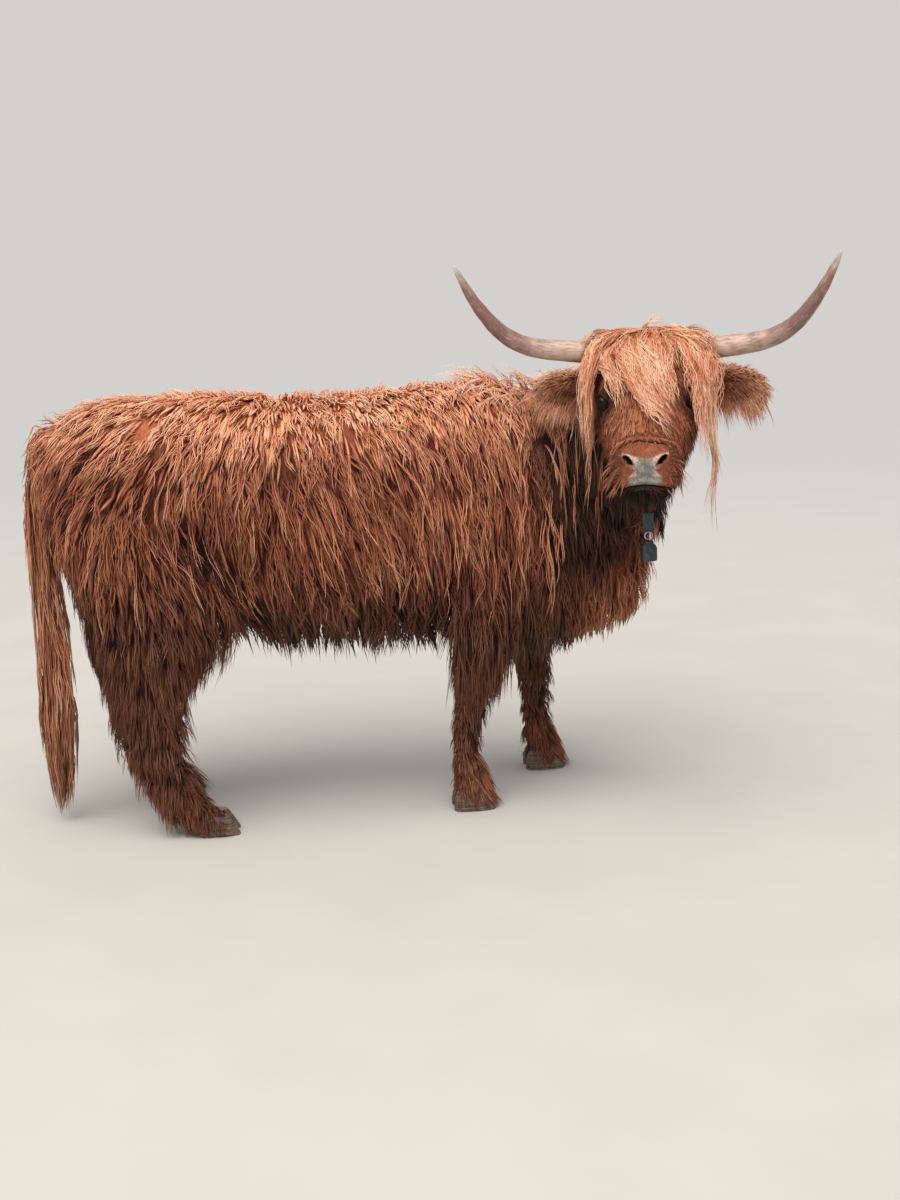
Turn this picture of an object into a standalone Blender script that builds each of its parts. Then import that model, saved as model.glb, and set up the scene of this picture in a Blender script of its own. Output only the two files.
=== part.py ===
"""Highland cow, life size, standing with the head turned to its right: solids out to the tips of the coat.

Metres, +Z up, +X towards the brisket, the floor at z = 0. Every flesh station below is written in a
stance frame whose y = 0 is the spine; STAND_OFFSET then puts the bottom centre of the bounds at the origin.
"""

import math

import bmesh
import bpy
import numpy as np
from mathutils import Matrix, Vector

# ---------------------------------------------------------------- sizes
STAND_OFFSET = Vector((-0.2306, 0.1614, 0.0))
GAP = 0.0004            # width of the thin cuts that part one node from the next
FIT = 0.0003            # clearance between a piece and the pocket it sits in
REMESH = 0.009          # voxel edge of the joined body
BODY_TRIS = 3500        # triangles kept on the joined body
RING = 28               # points round each loft ring

# the head's own frame: u runs poll to muzzle, v to the cow's left, w off the forehead
POLL = Vector((0.8366, -0.26, 1.2104))
HEAD_SIZE = 0.967
HEAD_YAW = math.radians(15.0)
HEAD_DOWN = math.radians(30.0)

EYE_R = 0.0195
EYE_AT = (0.163, 0.112, -0.047)
HORN_BASE_R = 0.0300
HORN_TIP_R = 0.0035
CLAW_L, CLAW_W, CLAW_H = 0.112, 0.046, 0.056
BAND_W, BAND_T = 0.034, 0.005

# ---------------------------------------------------------------- stations, out to the coat
# trunk: x, top z, bottom z, half width, roundness
TRUNK = [
    (-0.778, 1.010, 0.850, 0.075, 2.0), (-0.745, 1.068, 0.735, 0.150, 2.1),
    (-0.690, 1.120, 0.630, 0.212, 2.2), (-0.610, 1.153, 0.560, 0.252, 2.3),
    (-0.500, 1.166, 0.500, 0.274, 2.3), (-0.380, 1.166, 0.456, 0.288, 2.4),
    (-0.270, 1.161, 0.432, 0.297, 2.4), (-0.100, 1.152, 0.406, 0.307, 2.4),
    (0.020, 1.149, 0.393, 0.310, 2.4), (0.120, 1.151, 0.402, 0.305, 2.4),
    (0.230, 1.156, 0.410, 0.292, 2.4), (0.330, 1.162, 0.404, 0.277, 2.4),
    (0.450, 1.163, 0.392, 0.258, 2.3), (0.560, 1.152, 0.386, 0.236, 2.2),
    (0.660, 1.110, 0.390, 0.207, 2.1), (0.750, 1.030, 0.414, 0.172, 2.0),
    (0.835, 0.920, 0.462, 0.130, 2.0), (0.892, 0.780, 0.536, 0.066, 2.0),
]
# neck: centre, half height, half width; the rings stand square to the line of the centres
NECK = [
    ((0.400, 0.000, 0.830), 0.330, 0.232), ((0.550, -0.005, 0.856), 0.306, 0.205),
    ((0.660, -0.028, 0.900), 0.270, 0.172), ((0.745, -0.072, 0.950), 0.236, 0.152),
    ((0.810, -0.125, 0.993), 0.205, 0.142), ((0.848, -0.185, 1.022), 0.172, 0.134),
    ((0.862, -0.240, 1.040), 0.136, 0.120),
]
# dewlap: x, top z, bottom z, half width, y
DEWLAP = [
    (0.700, 0.90, 0.470, 0.085, -0.010), (0.780, 0.94, 0.500, 0.085, -0.035),
    (0.840, 0.95, 0.545, 0.075, -0.060), (0.880, 0.92, 0.612, 0.060, -0.085),
    (0.902, 0.88, 0.700, 0.040, -0.105),
]
# head: u, half width, w of the top, w of the underside, roundness
HEAD = [
    (-0.100, 0.085, 0.000, -0.190, 2.2), (-0.055, 0.118, 0.036, -0.212, 2.3),
    (-0.010, 0.136, 0.056, -0.216, 2.4), (0.050, 0.144, 0.054, -0.212, 2.5),
    (0.110, 0.142, 0.040, -0.206, 2.6), (0.170, 0.138, 0.022, -0.202, 2.6),
    (0.230, 0.129, 0.008, -0.198, 2.6), (0.290, 0.112, 0.000, -0.196, 2.6),
    (0.345, 0.099, -0.002, -0.192, 2.6), (0.395, 0.095, -0.004, -0.184, 2.6),
    (0.435, 0.096, -0.012, -0.166, 2.6), (0.464, 0.086, -0.026, -0.146, 2.5),
    (0.480, 0.058, -0.048, -0.118, 2.3),
]
# ear: v, w of the top edge, w of the fringe, u of the middle, half thickness
EAR = [
    (0.100, -0.040, -0.100, 0.058, 0.024), (0.150, -0.018, -0.132, 0.062, 0.030),
    (0.200, 0.000, -0.170, 0.066, 0.034), (0.250, 0.004, -0.192, 0.070, 0.033),
    (0.290, -0.014, -0.182, 0.074, 0.028), (0.320, -0.058, -0.140, 0.076, 0.016),
]
# legs: z, rear x, front x, y of the middle, half width
FORE_R = [
    (0.780, 0.310, 0.540, -0.140, 0.105), (0.640, 0.298, 0.552, -0.165, 0.116),
    (0.530, 0.304, 0.540, -0.168, 0.108), (0.446, 0.309, 0.516, -0.165, 0.096),
    (0.380, 0.306, 0.484, -0.160, 0.083), (0.300, 0.301, 0.440, -0.152, 0.069),
    (0.250, 0.298, 0.415, -0.147, 0.061), (0.190, 0.293, 0.397, -0.142, 0.055),
    (0.140, 0.290, 0.388, -0.139, 0.055), (0.095, 0.285, 0.389, -0.138, 0.061),
    (0.055, 0.282, 0.400, -0.138, 0.067), (0.022, 0.286, 0.403, -0.138, 0.066),
    (0.013, 0.296, 0.396, -0.138, 0.060),
]
FORE_L = [
    (0.780, 0.330, 0.580, 0.140, 0.105), (0.640, 0.370, 0.610, 0.165, 0.116),
    (0.530, 0.420, 0.638, 0.172, 0.108), (0.440, 0.468, 0.664, 0.177, 0.094),
    (0.340, 0.506, 0.670, 0.181, 0.078), (0.240, 0.523, 0.655, 0.184, 0.064),
    (0.180, 0.522, 0.647, 0.186, 0.057), (0.130, 0.520, 0.643, 0.188, 0.056),
    (0.085, 0.522, 0.644, 0.190, 0.061), (0.050, 0.530, 0.650, 0.190, 0.066),
    (0.022, 0.540, 0.650, 0.190, 0.065), (0.013, 0.550, 0.642, 0.190, 0.059),
]
HIND_R = [
    (1.000, -0.640, -0.380, -0.110, 0.090), (0.860, -0.690, -0.300, -0.165, 0.118),
    (0.740, -0.686, -0.250, -0.182, 0.122), (0.640, -0.655, -0.236, -0.190, 0.116),
    (0.560, -0.630, -0.238, -0.193, 0.107), (0.500, -0.616, -0.266, -0.195, 0.097),
    (0.440, -0.614, -0.296, -0.196, 0.088), (0.380, -0.610, -0.326, -0.197, 0.081),
    (0.310, -0.592, -0.346, -0.197, 0.073), (0.240, -0.576, -0.354, -0.197, 0.064),
    (0.180, -0.570, -0.352, -0.196, 0.060), (0.125, -0.555, -0.332, -0.194, 0.061),
    (0.080, -0.530, -0.310, -0.192, 0.066), (0.045, -0.500, -0.290, -0.190, 0.070),
    (0.022, -0.475, -0.281, -0.190, 0.069), (0.013, -0.455, -0.290, -0.190, 0.063),
]
HIND_L_SHIFT = Vector((-0.085, 0.0, 0.0))
HIND_L_SLIM = 0.90
# tail: z, rear x, front x, half width
TAIL = [
    (1.060, -0.760, -0.690, 0.040), (0.980, -0.786, -0.695, 0.050), (0.884, -0.794, -0.702, 0.050),
    (0.724, -0.787, -0.702, 0.046), (0.610, -0.785, -0.694, 0.049), (0.480, -0.788, -0.684, 0.055),
    (0.363, -0.795, -0.679, 0.059), (0.240, -0.799, -0.688, 0.055), (0.165, -0.792, -0.700, 0.047),
    (0.090, -0.779, -0.712, 0.034), (0.035, -0.766, -0.726, 0.020), (0.014, -0.757, -0.738, 0.010),
]
# horn: v, w, u on the middle line
HORN = [
    (0.112, 0.008, 0.022), (0.174, 0.016, 0.024), (0.231, 0.025, 0.028), (0.293, 0.038, 0.032),
    (0.344, 0.062, 0.034), (0.385, 0.098, 0.033), (0.418, 0.142, 0.028), (0.445, 0.186, 0.020),
    (0.467, 0.230, 0.010), (0.486, 0.272, 0.000),
]

# ---------------------------------------------------------------- where the thin cuts pass
HEAD_CUT_U = -0.030
EAR_CUT_V = 0.142
FORELOCK_W = 0.026
KNEE_Z, HOCK_Z = 0.372, 0.425
ELBOW_Z, THIGH_Z = 0.615, 0.800
MIDLINE_CLEAR = 0.050
SWITCH_Z = 0.560

# ---------------------------------------------------------------- a clean scene and its collections
for thing in list(bpy.data.objects):
    bpy.data.objects.remove(thing, do_unlink=True)
COW = bpy.data.collections.new("highland_cow")
CUTTERS = bpy.data.collections.new("cutters")
for collection in (COW, CUTTERS):
    bpy.context.scene.collection.children.link(collection)


def paint(name, rgb, roughness):
    """A Principled material in one plain colour."""
    made = bpy.data.materials.new(name)
    made.use_nodes = True
    shader = made.node_tree.nodes["Principled BSDF"]
    shader.inputs["Base Color"].default_value = (*rgb, 1.0)
    shader.inputs["Roughness"].default_value = roughness
    made.diffuse_color = (*rgb, 1.0)
    return made


def head_frame():
    """Rotation whose columns are the head's u, v and w."""
    u = Vector((-math.sin(HEAD_YAW) * math.cos(HEAD_DOWN), -math.cos(HEAD_YAW) * math.cos(HEAD_DOWN),
                -math.sin(HEAD_DOWN)))
    v = Vector((0, 0, 1)).cross(u).normalized()
    return Matrix((u, v, u.cross(v))).transposed()


HEAD_TURN = head_frame()


def in_head(u, v, w):
    return POLL + HEAD_TURN @ Vector((u, v, w)) * HEAD_SIZE


def mesh_object(name, points, faces, collection=CUTTERS):
    """A mesh object, its faces turned outward."""
    mesh = bpy.data.meshes.new(name)
    mesh.from_pydata([tuple(p) for p in points], [], faces)
    work = bmesh.new()
    work.from_mesh(mesh)
    bmesh.ops.recalc_face_normals(work, faces=work.faces)
    work.to_mesh(mesh)
    work.free()
    made = bpy.data.objects.new(name, mesh)
    collection.objects.link(made)
    if collection is CUTTERS:
        made.hide_render = True
        made.display_type = "WIRE"
    return made


def oval(centre, side, up, half_side, half_up, roundness=2.0, count=RING):
    """Points of a superellipse round a centre."""
    ring = []
    for k in range(count):
        angle = 2 * math.pi * k / count
        c, s = math.cos(angle), math.sin(angle)
        a = math.copysign(abs(c) ** (2 / roundness), c) * half_side
        b = math.copysign(abs(s) ** (2 / roundness), s) * half_up
        ring.append(centre + side * a + up * b)
    return ring


def loft(name, rings, collection=CUTTERS):
    """Skins a row of rings of equal count and closes both ends."""
    count = len(rings[0])
    points = [p for ring in rings for p in ring]
    faces = []
    for r in range(len(rings) - 1):
        for k in range(count):
            a, b = r * count + k, r * count + (k + 1) % count
            faces.append((a, b, b + count, a + count))
    faces.append(tuple(range(count)))
    faces.append(tuple(range(len(points) - count, len(points))))
    return mesh_object(name, points, faces, collection)


def spline_rows(rows, steps=3):
    """Smooth rows of numbers: a Catmull-Rom curve through them, `steps` new rows to each gap."""
    table = np.array(rows, float)
    padded = np.vstack([2 * table[0] - table[1], table, 2 * table[-1] - table[-2]])
    out = []
    for k in range(len(table) - 1):
        p0, p1, p2, p3 = padded[k:k + 4]
        for t in np.arange(steps) / steps:
            out.append(0.5 * (2 * p1 + (p2 - p0) * t + (2 * p0 - 5 * p1 + 4 * p2 - p3) * t * t
                              + (3 * p1 - p0 - 3 * p2 + p3) * t ** 3))
    out.append(table[-1])
    return out


# ---------------------------------------------------------------- the flesh, as overlapping lofts
X, Y, Z = Vector((1, 0, 0)), Vector((0, 1, 0)), Vector((0, 0, 1))


def trunk_loft():
    return loft("trunk_form", [
        oval(Vector((x, 0, (top + low) / 2)), Y, Z, half, (top - low) / 2, n)
        for x, top, low, half, n in spline_rows(TRUNK, 2)])


def dewlap_loft():
    return loft("dewlap_form", [
        oval(Vector((x, y, (top + low) / 2)), Y, Z, half, (top - low) / 2)
        for x, top, low, half, y in spline_rows(DEWLAP, 3)])


def neck_loft():
    rows = spline_rows([(*c, h, w) for c, h, w in NECK], 3)
    rings = []
    for k, row in enumerate(rows):
        here = Vector(row[:3])
        along = Vector(rows[min(k + 1, len(rows) - 1)][:3]) - Vector(rows[max(k - 1, 0)][:3])
        along.normalize()
        side = Z.cross(along).normalized()
        rings.append(oval(here, side, along.cross(side), row[4], row[3], 2.1))
    return loft("neck_form", rings)


def head_loft():
    _, v, w = (HEAD_TURN.col[k] for k in range(3))
    return loft("head_form", [
        oval(in_head(u, 0, (top + low) / 2), v * HEAD_SIZE, w * HEAD_SIZE, half, (top - low) / 2, n)
        for u, half, top, low, n in spline_rows(HEAD, 3)])


def ear_loft(side):
    u_axis, _, w_axis = (HEAD_TURN.col[k] for k in range(3))
    return loft("ear_form", [
        oval(in_head(u, side * v, (top + low) / 2), u_axis * HEAD_SIZE, w_axis * HEAD_SIZE, thick, (top - low) / 2, 2.2)
        for v, top, low, u, thick in spline_rows(EAR, 3)])


def leg_loft(rows, shift=Vector((0, 0, 0)), flip=False, slim=1.0):
    rings = []
    for z, rear, front, y, half in spline_rows(rows, 2):
        middle = Vector(((rear + front) / 2, -y if flip else y, z)) + shift
        rings.append(oval(middle, X, Y, slim * (front - rear) / 2, half, 2.1))
    return loft("leg_form", rings)


def tail_loft():
    return loft("tail_form", [
        oval(Vector(((rear + front) / 2, 0, z)), X, Y, (front - rear) / 2, half)
        for z, rear, front, half in spline_rows(TAIL, 2)])


def horn_rings(side, grow=0.0, count=12, steps=1):
    rows = spline_rows(HORN, steps)
    rings = []
    for k, (v, w, u) in enumerate(rows):
        here = in_head(u, side * (v - (grow if k == 0 else 0)), w)
        ends = [rows[max(k - 1, 0)], rows[min(k + 1, len(rows) - 1)]]
        along = in_head(ends[1][2], side * ends[1][0], ends[1][1]) \
            - in_head(ends[0][2], side * ends[0][0], ends[0][1])
        along.normalize()
        u_axis = HEAD_TURN.col[0]
        up = along.cross(u_axis).normalized()
        t = k / (len(rows) - 1)
        radius = HORN_TIP_R + (HORN_BASE_R - HORN_TIP_R) * (1 - t ** 1.5) + grow
        rings.append(oval(here, up.cross(along), up, radius * 1.04, radius, 2.0, count))
    return rings


# ---------------------------------------------------------------- modelling helpers
def activate(thing):
    bpy.ops.object.select_all(action="DESELECT")
    thing.select_set(True)
    bpy.context.view_layer.objects.active = thing


def join(things, name):
    bpy.ops.object.select_all(action="DESELECT")
    for thing in things:
        thing.select_set(True)
    bpy.context.view_layer.objects.active = things[0]
    bpy.ops.object.join()
    things[0].name = name
    return things[0]


def settle(thing, kind, **settings):
    """Adds a modifier, sets it and applies it."""
    activate(thing)
    modifier = thing.modifiers.new(kind.lower(), kind)
    for key, value in settings.items():
        setattr(modifier, key, value)
    bpy.ops.object.modifier_apply(modifier=modifier.name)


def box(name, low, high, turn=None, origin=Vector((0, 0, 0))):
    """A box between two corners, given in a frame of its own when `turn` is set."""
    corners = [Vector((x, y, z)) for x in (low[0], high[0]) for y in (low[1], high[1]) for z in (low[2], high[2])]
    if turn is not None:
        corners = [origin + turn @ c for c in corners]
    faces = [(0, 1, 3, 2), (4, 6, 7, 5), (0, 4, 5, 1), (2, 3, 7, 6), (0, 2, 6, 4), (1, 5, 7, 3)]
    return mesh_object(name, corners, faces)


def carve(thing, cutter, operation="DIFFERENCE"):
    settle(thing, "BOOLEAN", operation=operation, solver="EXACT", object=cutter)


def keep_largest(thing):
    """Drops every loose island but the largest, so that the node is one closed body."""
    work = bmesh.new()
    work.from_mesh(thing.data)
    bmesh.ops.remove_doubles(work, verts=work.verts, dist=0.00002)
    bmesh.ops.dissolve_degenerate(work, edges=work.edges, dist=0.00002)
    seen, islands = set(), []
    for start in work.verts:
        if start in seen:
            continue
        island, front = [], [start]
        seen.add(start)
        while front:
            vert = front.pop()
            island.append(vert)
            for edge in vert.link_edges:
                other = edge.other_vert(vert)
                if other not in seen:
                    seen.add(other)
                    front.append(other)
        islands.append(island)
    islands.sort(key=len)
    bmesh.ops.delete(work, geom=[v for island in islands[:-1] for v in island], context="VERTS")
    work.to_mesh(thing.data)
    work.free()


def part_off(rest, name, low, high, turn=None, origin=Vector((0, 0, 0))):
    """Cuts the box out of the rest as a node of its own, with a GAP left between the two."""
    region = box(name + "_region", low, high, turn, origin)
    grown = box(name + "_grown", [c - GAP for c in low], [c + GAP for c in high], turn, origin)
    piece = rest.copy()
    piece.data = rest.data.copy()
    piece.name = name
    COW.objects.link(piece)
    carve(piece, region, "INTERSECT")
    carve(rest, grown)
    keep_largest(piece)
    keep_largest(rest)
    return piece


# ---------------------------------------------------------------- one body, then the thin cuts
flesh = join([trunk_loft(), dewlap_loft(), neck_loft(), head_loft(), ear_loft(1), ear_loft(-1),
              leg_loft(FORE_R), leg_loft(FORE_L), leg_loft(HIND_R),
              leg_loft(HIND_R, HIND_L_SHIFT, True, HIND_L_SLIM),
              tail_loft()], "trunk")
CUTTERS.objects.unlink(flesh)
COW.objects.link(flesh)
flesh.hide_render = False
flesh.display_type = "TEXTURED"
settle(flesh, "REMESH", mode="VOXEL", voxel_size=REMESH)
settle(flesh, "SMOOTH", factor=0.5, iterations=4)

# the head keeps more of its faces than the rest
fine = flesh.vertex_groups.new(name="coarse")
for vert in flesh.data.vertices:
    local = HEAD_TURN.transposed() @ (vert.co - POLL)
    is_head = local.x > HEAD_CUT_U - 0.02
    is_foot = vert.co.z < 0.20
    fine.add([vert.index], 0.25 if is_head else 0.55 if is_foot else 1.0, "REPLACE")
settle(flesh, "TRIANGULATE")
settle(flesh, "DECIMATE", ratio=BODY_TRIS / len(flesh.data.polygons), vertex_group="coarse",
       vertex_group_factor=1.0, use_collapse_triangulate=True)
flesh.vertex_groups.clear()

FAR = 1.0
ears = {}
for tag, side in (("L", 1), ("R", -1)):
    span = sorted((side * EAR_CUT_V, side * 0.34))
    ears[tag] = part_off(flesh, "ear_" + tag, (0.026, span[0], -0.205), (0.125, span[1], 0.05), HEAD_TURN, POLL)
head = part_off(flesh, "head", (HEAD_CUT_U, -0.170, -0.23), (0.7, 0.170, 0.4), HEAD_TURN, POLL)
forelock = part_off(head, "forelock", (-0.2, -0.3, FORELOCK_W), (0.6, 0.3, 0.4), HEAD_TURN, POLL)

legs = {}
for tag in ("fore_R", "fore_L", "hind_R", "hind_L"):
    hind = "hind" in tag
    x0 = (-0.75 if hind else 0.25)
    x1 = (-0.20 if hind else 0.75)
    y0, y1 = (MIDLINE_CLEAR, 0.45) if tag.endswith("L") else (-0.45, -MIDLINE_CLEAR)
    joint = HOCK_Z if hind else KNEE_Z
    legs[tag, "lower"] = part_off(flesh, tag.replace("_", "_lower_"), (x0, y0, -0.1), (x1, y1, joint))
    top = THIGH_Z if hind else ELBOW_Z
    if hind:
        legs[tag, "upper"] = part_off(flesh, tag.replace("_", "_upper_"), (x0 + 0.04, y0, joint),
                                      (x1 - 0.035, y1, top))
    else:
        xs = (0.290, 0.560) if tag.endswith("R") else (0.370, 0.690)
        legs[tag, "upper"] = part_off(flesh, tag.replace("_", "_upper_"), (xs[0], y0, joint), (xs[1], y1, top))

switch = part_off(flesh, "tail_switch", (-0.9, -0.090, -0.1), (-0.640, 0.090, SWITCH_Z))
tail = part_off(flesh, "tail", (-0.9, -0.075, SWITCH_Z), (-0.700, 0.075, 0.90))

# the neck is parted along a slanting plane from the withers to the front of the brisket
slant = math.atan2(0.62 - 1.17, 0.86 - 0.52)
neck_turn = Matrix.Rotation(-slant - math.pi / 2, 3, "Y")
neck = part_off(flesh, "neck", (0.0, -0.5, -0.6), (0.6, 0.5, 0.8), neck_turn, Vector((0.56, 0, 1.105)))


# ---------------------------------------------------------------- claws, with pockets in the feet
def claw_rings(toe, side, grow=0.0):
    """One claw standing on its flat sole: toe at `toe`, running back along -X."""
    rings = []
    sole = 0.0 if grow == 0.0 else -0.01
    for t in np.linspace(0, 1, 6):
        x = toe.x + grow - t * (CLAW_L + 2 * grow)
        wide = (CLAW_W / 2) * math.sin(math.pi * (0.12 + 0.62 * t)) ** 0.6 + grow
        high = (CLAW_H * (0.34 + 1.05 * t) if t < 0.62 else CLAW_H * (0.99 - 0.55 * (t - 0.62))) + grow
        y = toe.y + side * 0.006 * (1 - t)
        ring = []
        for a in np.linspace(0, math.pi, 7):
            ring.append(Vector((x - 0.012 * math.sin(a) * (1 - t), y + wide * math.cos(a),
                                sole + (high - sole) * math.sin(a) ** 0.7)))
        rings.append(ring)
    return rings


FEET = {  # toe x, y of the foot
    "fore_R": (0.412, -0.138), "fore_L": (0.658, 0.190),
    "hind_R": (-0.272, -0.190), "hind_L": (-0.285 + HIND_L_SHIFT.x, 0.190),
}
claws = {}
for foot, (toe_x, foot_y) in FEET.items():
    outward = math.copysign(1, foot_y)
    for tag, side in (("outer", outward), ("inner", -outward)):
        toe = Vector((toe_x, foot_y + side * (CLAW_W / 2 + 0.003), 0))
        name = "claw_%s_%s" % (foot, tag)
        carve(legs[foot, "lower"], loft(name + "_pocket", claw_rings(toe, side, 0.002)))
        claws[name] = loft(name, claw_rings(toe, side), COW)
    keep_largest(legs[foot, "lower"])

# ---------------------------------------------------------------- eyes and horns, with sockets in the head
eyes, horns = {}, {}
for tag, side in (("L", 1), ("R", -1)):
    at = in_head(EYE_AT[0], side * EYE_AT[1], EYE_AT[2])
    gaze = (HEAD_TURN @ Vector((0.42, side * 0.86, 0.30))).normalized()
    aim = gaze.to_track_quat("Z", "Y").to_matrix()
    cone = loft("socket_" + tag, [
        oval(at + gaze * d, aim.col[0], aim.col[1], r, r, 2.0, 16)
        for d, r in ((-0.021, 0.006), (-0.014, 0.0165), (0.0, 0.0215), (0.02, 0.026), (0.09, 0.045))])
    for solid in (head, forelock):
        carve(solid, cone)
        keep_largest(solid)
    bpy.ops.mesh.primitive_uv_sphere_add(segments=12, ring_count=8, radius=EYE_R, location=at)
    eyes[tag] = bpy.context.object
    eyes[tag].name = "eye_" + tag
    horn_pocket = loft("horn_pocket_" + tag, horn_rings(side, 0.0012))
    for solid in (head, forelock, ears[tag]):
        carve(solid, horn_pocket)
        keep_largest(solid)
    horns[tag] = loft("horn_" + tag, horn_rings(side), COW)

# ---------------------------------------------------------------- the collar and what hangs from it
BAND_AT = Vector((0.715, -0.065, 0.930))
BAND_ALONG = Vector((0.66, -0.42, 0.62)).normalized()
BAND_SIDE = Z.cross(BAND_ALONG).normalized()
BAND_UP = BAND_ALONG.cross(BAND_SIDE)
BAND_HALF = (0.136, 0.212)


def band_solid(name, inner, outer, width, collection=CUTTERS):
    """A flat ring round the neck: an oblong section carried round an oval."""
    count = 32
    rings = [oval(BAND_AT + BAND_ALONG * (k * width / 2), BAND_SIDE, BAND_UP, BAND_HALF[0] + r, BAND_HALF[1] + r,
                  2.1, count) for k, r in ((-1, inner), (1, inner), (1, outer), (-1, outer))]
    points = [p for ring in rings for p in ring]
    faces = [(a * count + k, a * count + (k + 1) % count, b * count + (k + 1) % count, b * count + k)
             for a, b in ((0, 1), (1, 2), (2, 3), (3, 0)) for k in range(count)]
    return mesh_object(name, points, faces, collection)


groove = band_solid("collar_groove", -FIT, 0.09, BAND_W + 2 * FIT)
for solid in (neck, head, flesh, ears["R"]):
    carve(solid, groove)
    keep_largest(solid)
collar = band_solid("collar_band", 0.0, BAND_T, BAND_W, COW)

TAG_AT = Vector((0.836, -0.214, 0.0))
hang = lambda z: Vector((TAG_AT.x, TAG_AT.y, z))
strap = loft("collar_strap_end", [oval(hang(z), X, Y, w, 0.0025, 4.0, 12)
                                  for z, w in ((0.785, 0.013), (0.755, 0.0150), (0.743, 0.0150), (0.7375, 0.010))], COW)
bpy.ops.mesh.primitive_torus_add(major_segments=16, minor_segments=6, major_radius=0.0100, minor_radius=0.0018,
                                 location=hang(0.7242), rotation=(math.pi / 2, 0, 0))
ring = bpy.context.object
ring.name = "collar_ring"
weight = loft("collar_weight", [oval(hang(z), X, Y, w, d, 3.0, 16)
                                for z, w, d in ((0.7108, 0.012, 0.010), (0.7060, 0.0150, 0.0125), (0.6960, 0.0205, 0.0165),
                                                (0.6640, 0.0212, 0.0175), (0.6585, 0.0195, 0.0160))], COW)

# ---------------------------------------------------------------- finish: materials, collections, place
COAT = paint("coat", (0.27, 0.085, 0.030), 0.8)
PALE = paint("forelock_coat", (0.50, 0.24, 0.09), 0.8)
HORN_STUFF = paint("horn", (0.55, 0.42, 0.33), 0.5)
CLAW_STUFF = paint("claw_horn", (0.20, 0.15, 0.12), 0.6)
EYE_STUFF = paint("eye", (0.02, 0.012, 0.008), 0.1)
STRAP = paint("strap", (0.03, 0.045, 0.05), 0.6)
METAL = paint("steel", (0.45, 0.45, 0.46), 0.3)

finish = {flesh: COAT, neck: COAT, head: COAT, tail: COAT, switch: PALE, forelock: PALE, collar: STRAP, strap: STRAP,
          ring: METAL, weight: STRAP}
finish.update({piece: COAT for piece in list(ears.values()) + list(legs.values())})
finish.update({piece: HORN_STUFF for piece in horns.values()})
finish.update({piece: CLAW_STUFF for piece in claws.values()})
finish.update({piece: EYE_STUFF for piece in eyes.values()})

for piece, material in finish.items():
    activate(piece)
    if piece.location.length > 0 or piece.rotation_euler.to_quaternion().angle > 0:
        bpy.ops.object.transform_apply(location=True, rotation=True, scale=True)
    for vert in piece.data.vertices:
        vert.co += STAND_OFFSET
    piece.data.materials.clear()
    piece.data.materials.append(material)
    for owner in list(piece.users_collection):
        owner.objects.unlink(piece)
    COW.objects.link(piece)

for helper in list(CUTTERS.objects):
    bpy.data.objects.remove(helper, do_unlink=True)

print("nodes", len(COW.objects))
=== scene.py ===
# %% [markdown]
# # A highland cow, life size, in its long coat
# The cow stands still with its head turned to look over its right shoulder. A coat like this is two
# things: a hide, which nobody quite sees, and many thousands of locks of hair that cover it. Both are
# modelled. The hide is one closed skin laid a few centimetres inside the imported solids, and the locks
# are thin tapered meshes rooted on it, each following the lie of the coat. Everything is in metres, on
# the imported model's own frame.

# %% Load the fixed frame and the tools
import math
from functools import partial

import bmesh
import bpy
import numpy as np
from mathutils import Matrix, Vector
from mathutils.bvhtree import BVHTree


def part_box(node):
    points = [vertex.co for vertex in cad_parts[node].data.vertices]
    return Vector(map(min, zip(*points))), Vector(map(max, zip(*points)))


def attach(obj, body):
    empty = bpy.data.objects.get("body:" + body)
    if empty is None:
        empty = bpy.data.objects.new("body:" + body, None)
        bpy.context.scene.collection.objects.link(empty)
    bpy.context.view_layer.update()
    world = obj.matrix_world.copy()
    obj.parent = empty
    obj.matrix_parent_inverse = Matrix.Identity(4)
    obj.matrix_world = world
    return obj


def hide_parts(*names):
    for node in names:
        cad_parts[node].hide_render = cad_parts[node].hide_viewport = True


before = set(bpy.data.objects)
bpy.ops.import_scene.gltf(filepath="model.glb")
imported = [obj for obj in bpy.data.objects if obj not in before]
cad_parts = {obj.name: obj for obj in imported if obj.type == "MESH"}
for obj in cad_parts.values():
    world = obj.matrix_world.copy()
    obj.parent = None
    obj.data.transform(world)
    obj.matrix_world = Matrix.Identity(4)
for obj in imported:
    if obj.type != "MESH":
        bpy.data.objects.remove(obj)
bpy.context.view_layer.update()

rng = np.random.default_rng(41)

# %% [markdown]
# ## The stance, and the head's own frame
# All stations below are written in a stance frame with the spine at y = 0, and STAND moves them to the
# imported model's frame. The head is easier to think of in axes of its own: u from the poll down to the
# muzzle, v to the cow's left, w straight off the forehead. The distance between the eye solids and the
# left one's place in the head's frame are printed.

# %% Frames
STAND = np.array([-0.2306, 0.1614, 0.0])
POLL = np.array([0.8366, -0.26, 1.2104]) + STAND
HEAD_SIZE = 0.967
HEAD_YAW, HEAD_DOWN = math.radians(15.0), math.radians(30.0)
HU = np.array([-math.sin(HEAD_YAW) * math.cos(HEAD_DOWN), -math.cos(HEAD_YAW) * math.cos(HEAD_DOWN),
               -math.sin(HEAD_DOWN)])
HV = np.cross([0, 0, 1], HU) / np.linalg.norm(np.cross([0, 0, 1], HU))
HW = np.cross(HU, HV)
HEAD_AXES = np.stack([HU, HV, HW])
UP = np.array([0.0, 0.0, 1.0])


def in_head(u, v, w):
    """Place of a point given in the head's frame."""
    return POLL + HEAD_SIZE * (u * HU + v * HV + w * HW)


def from_head(points):
    """Places of rows of (u, v, w)."""
    return POLL + HEAD_SIZE * np.asarray(points) @ HEAD_AXES


def to_head(points):
    """Head-frame (u, v, w) of places."""
    return (np.asarray(points) - POLL) @ HEAD_AXES.T / HEAD_SIZE


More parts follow.
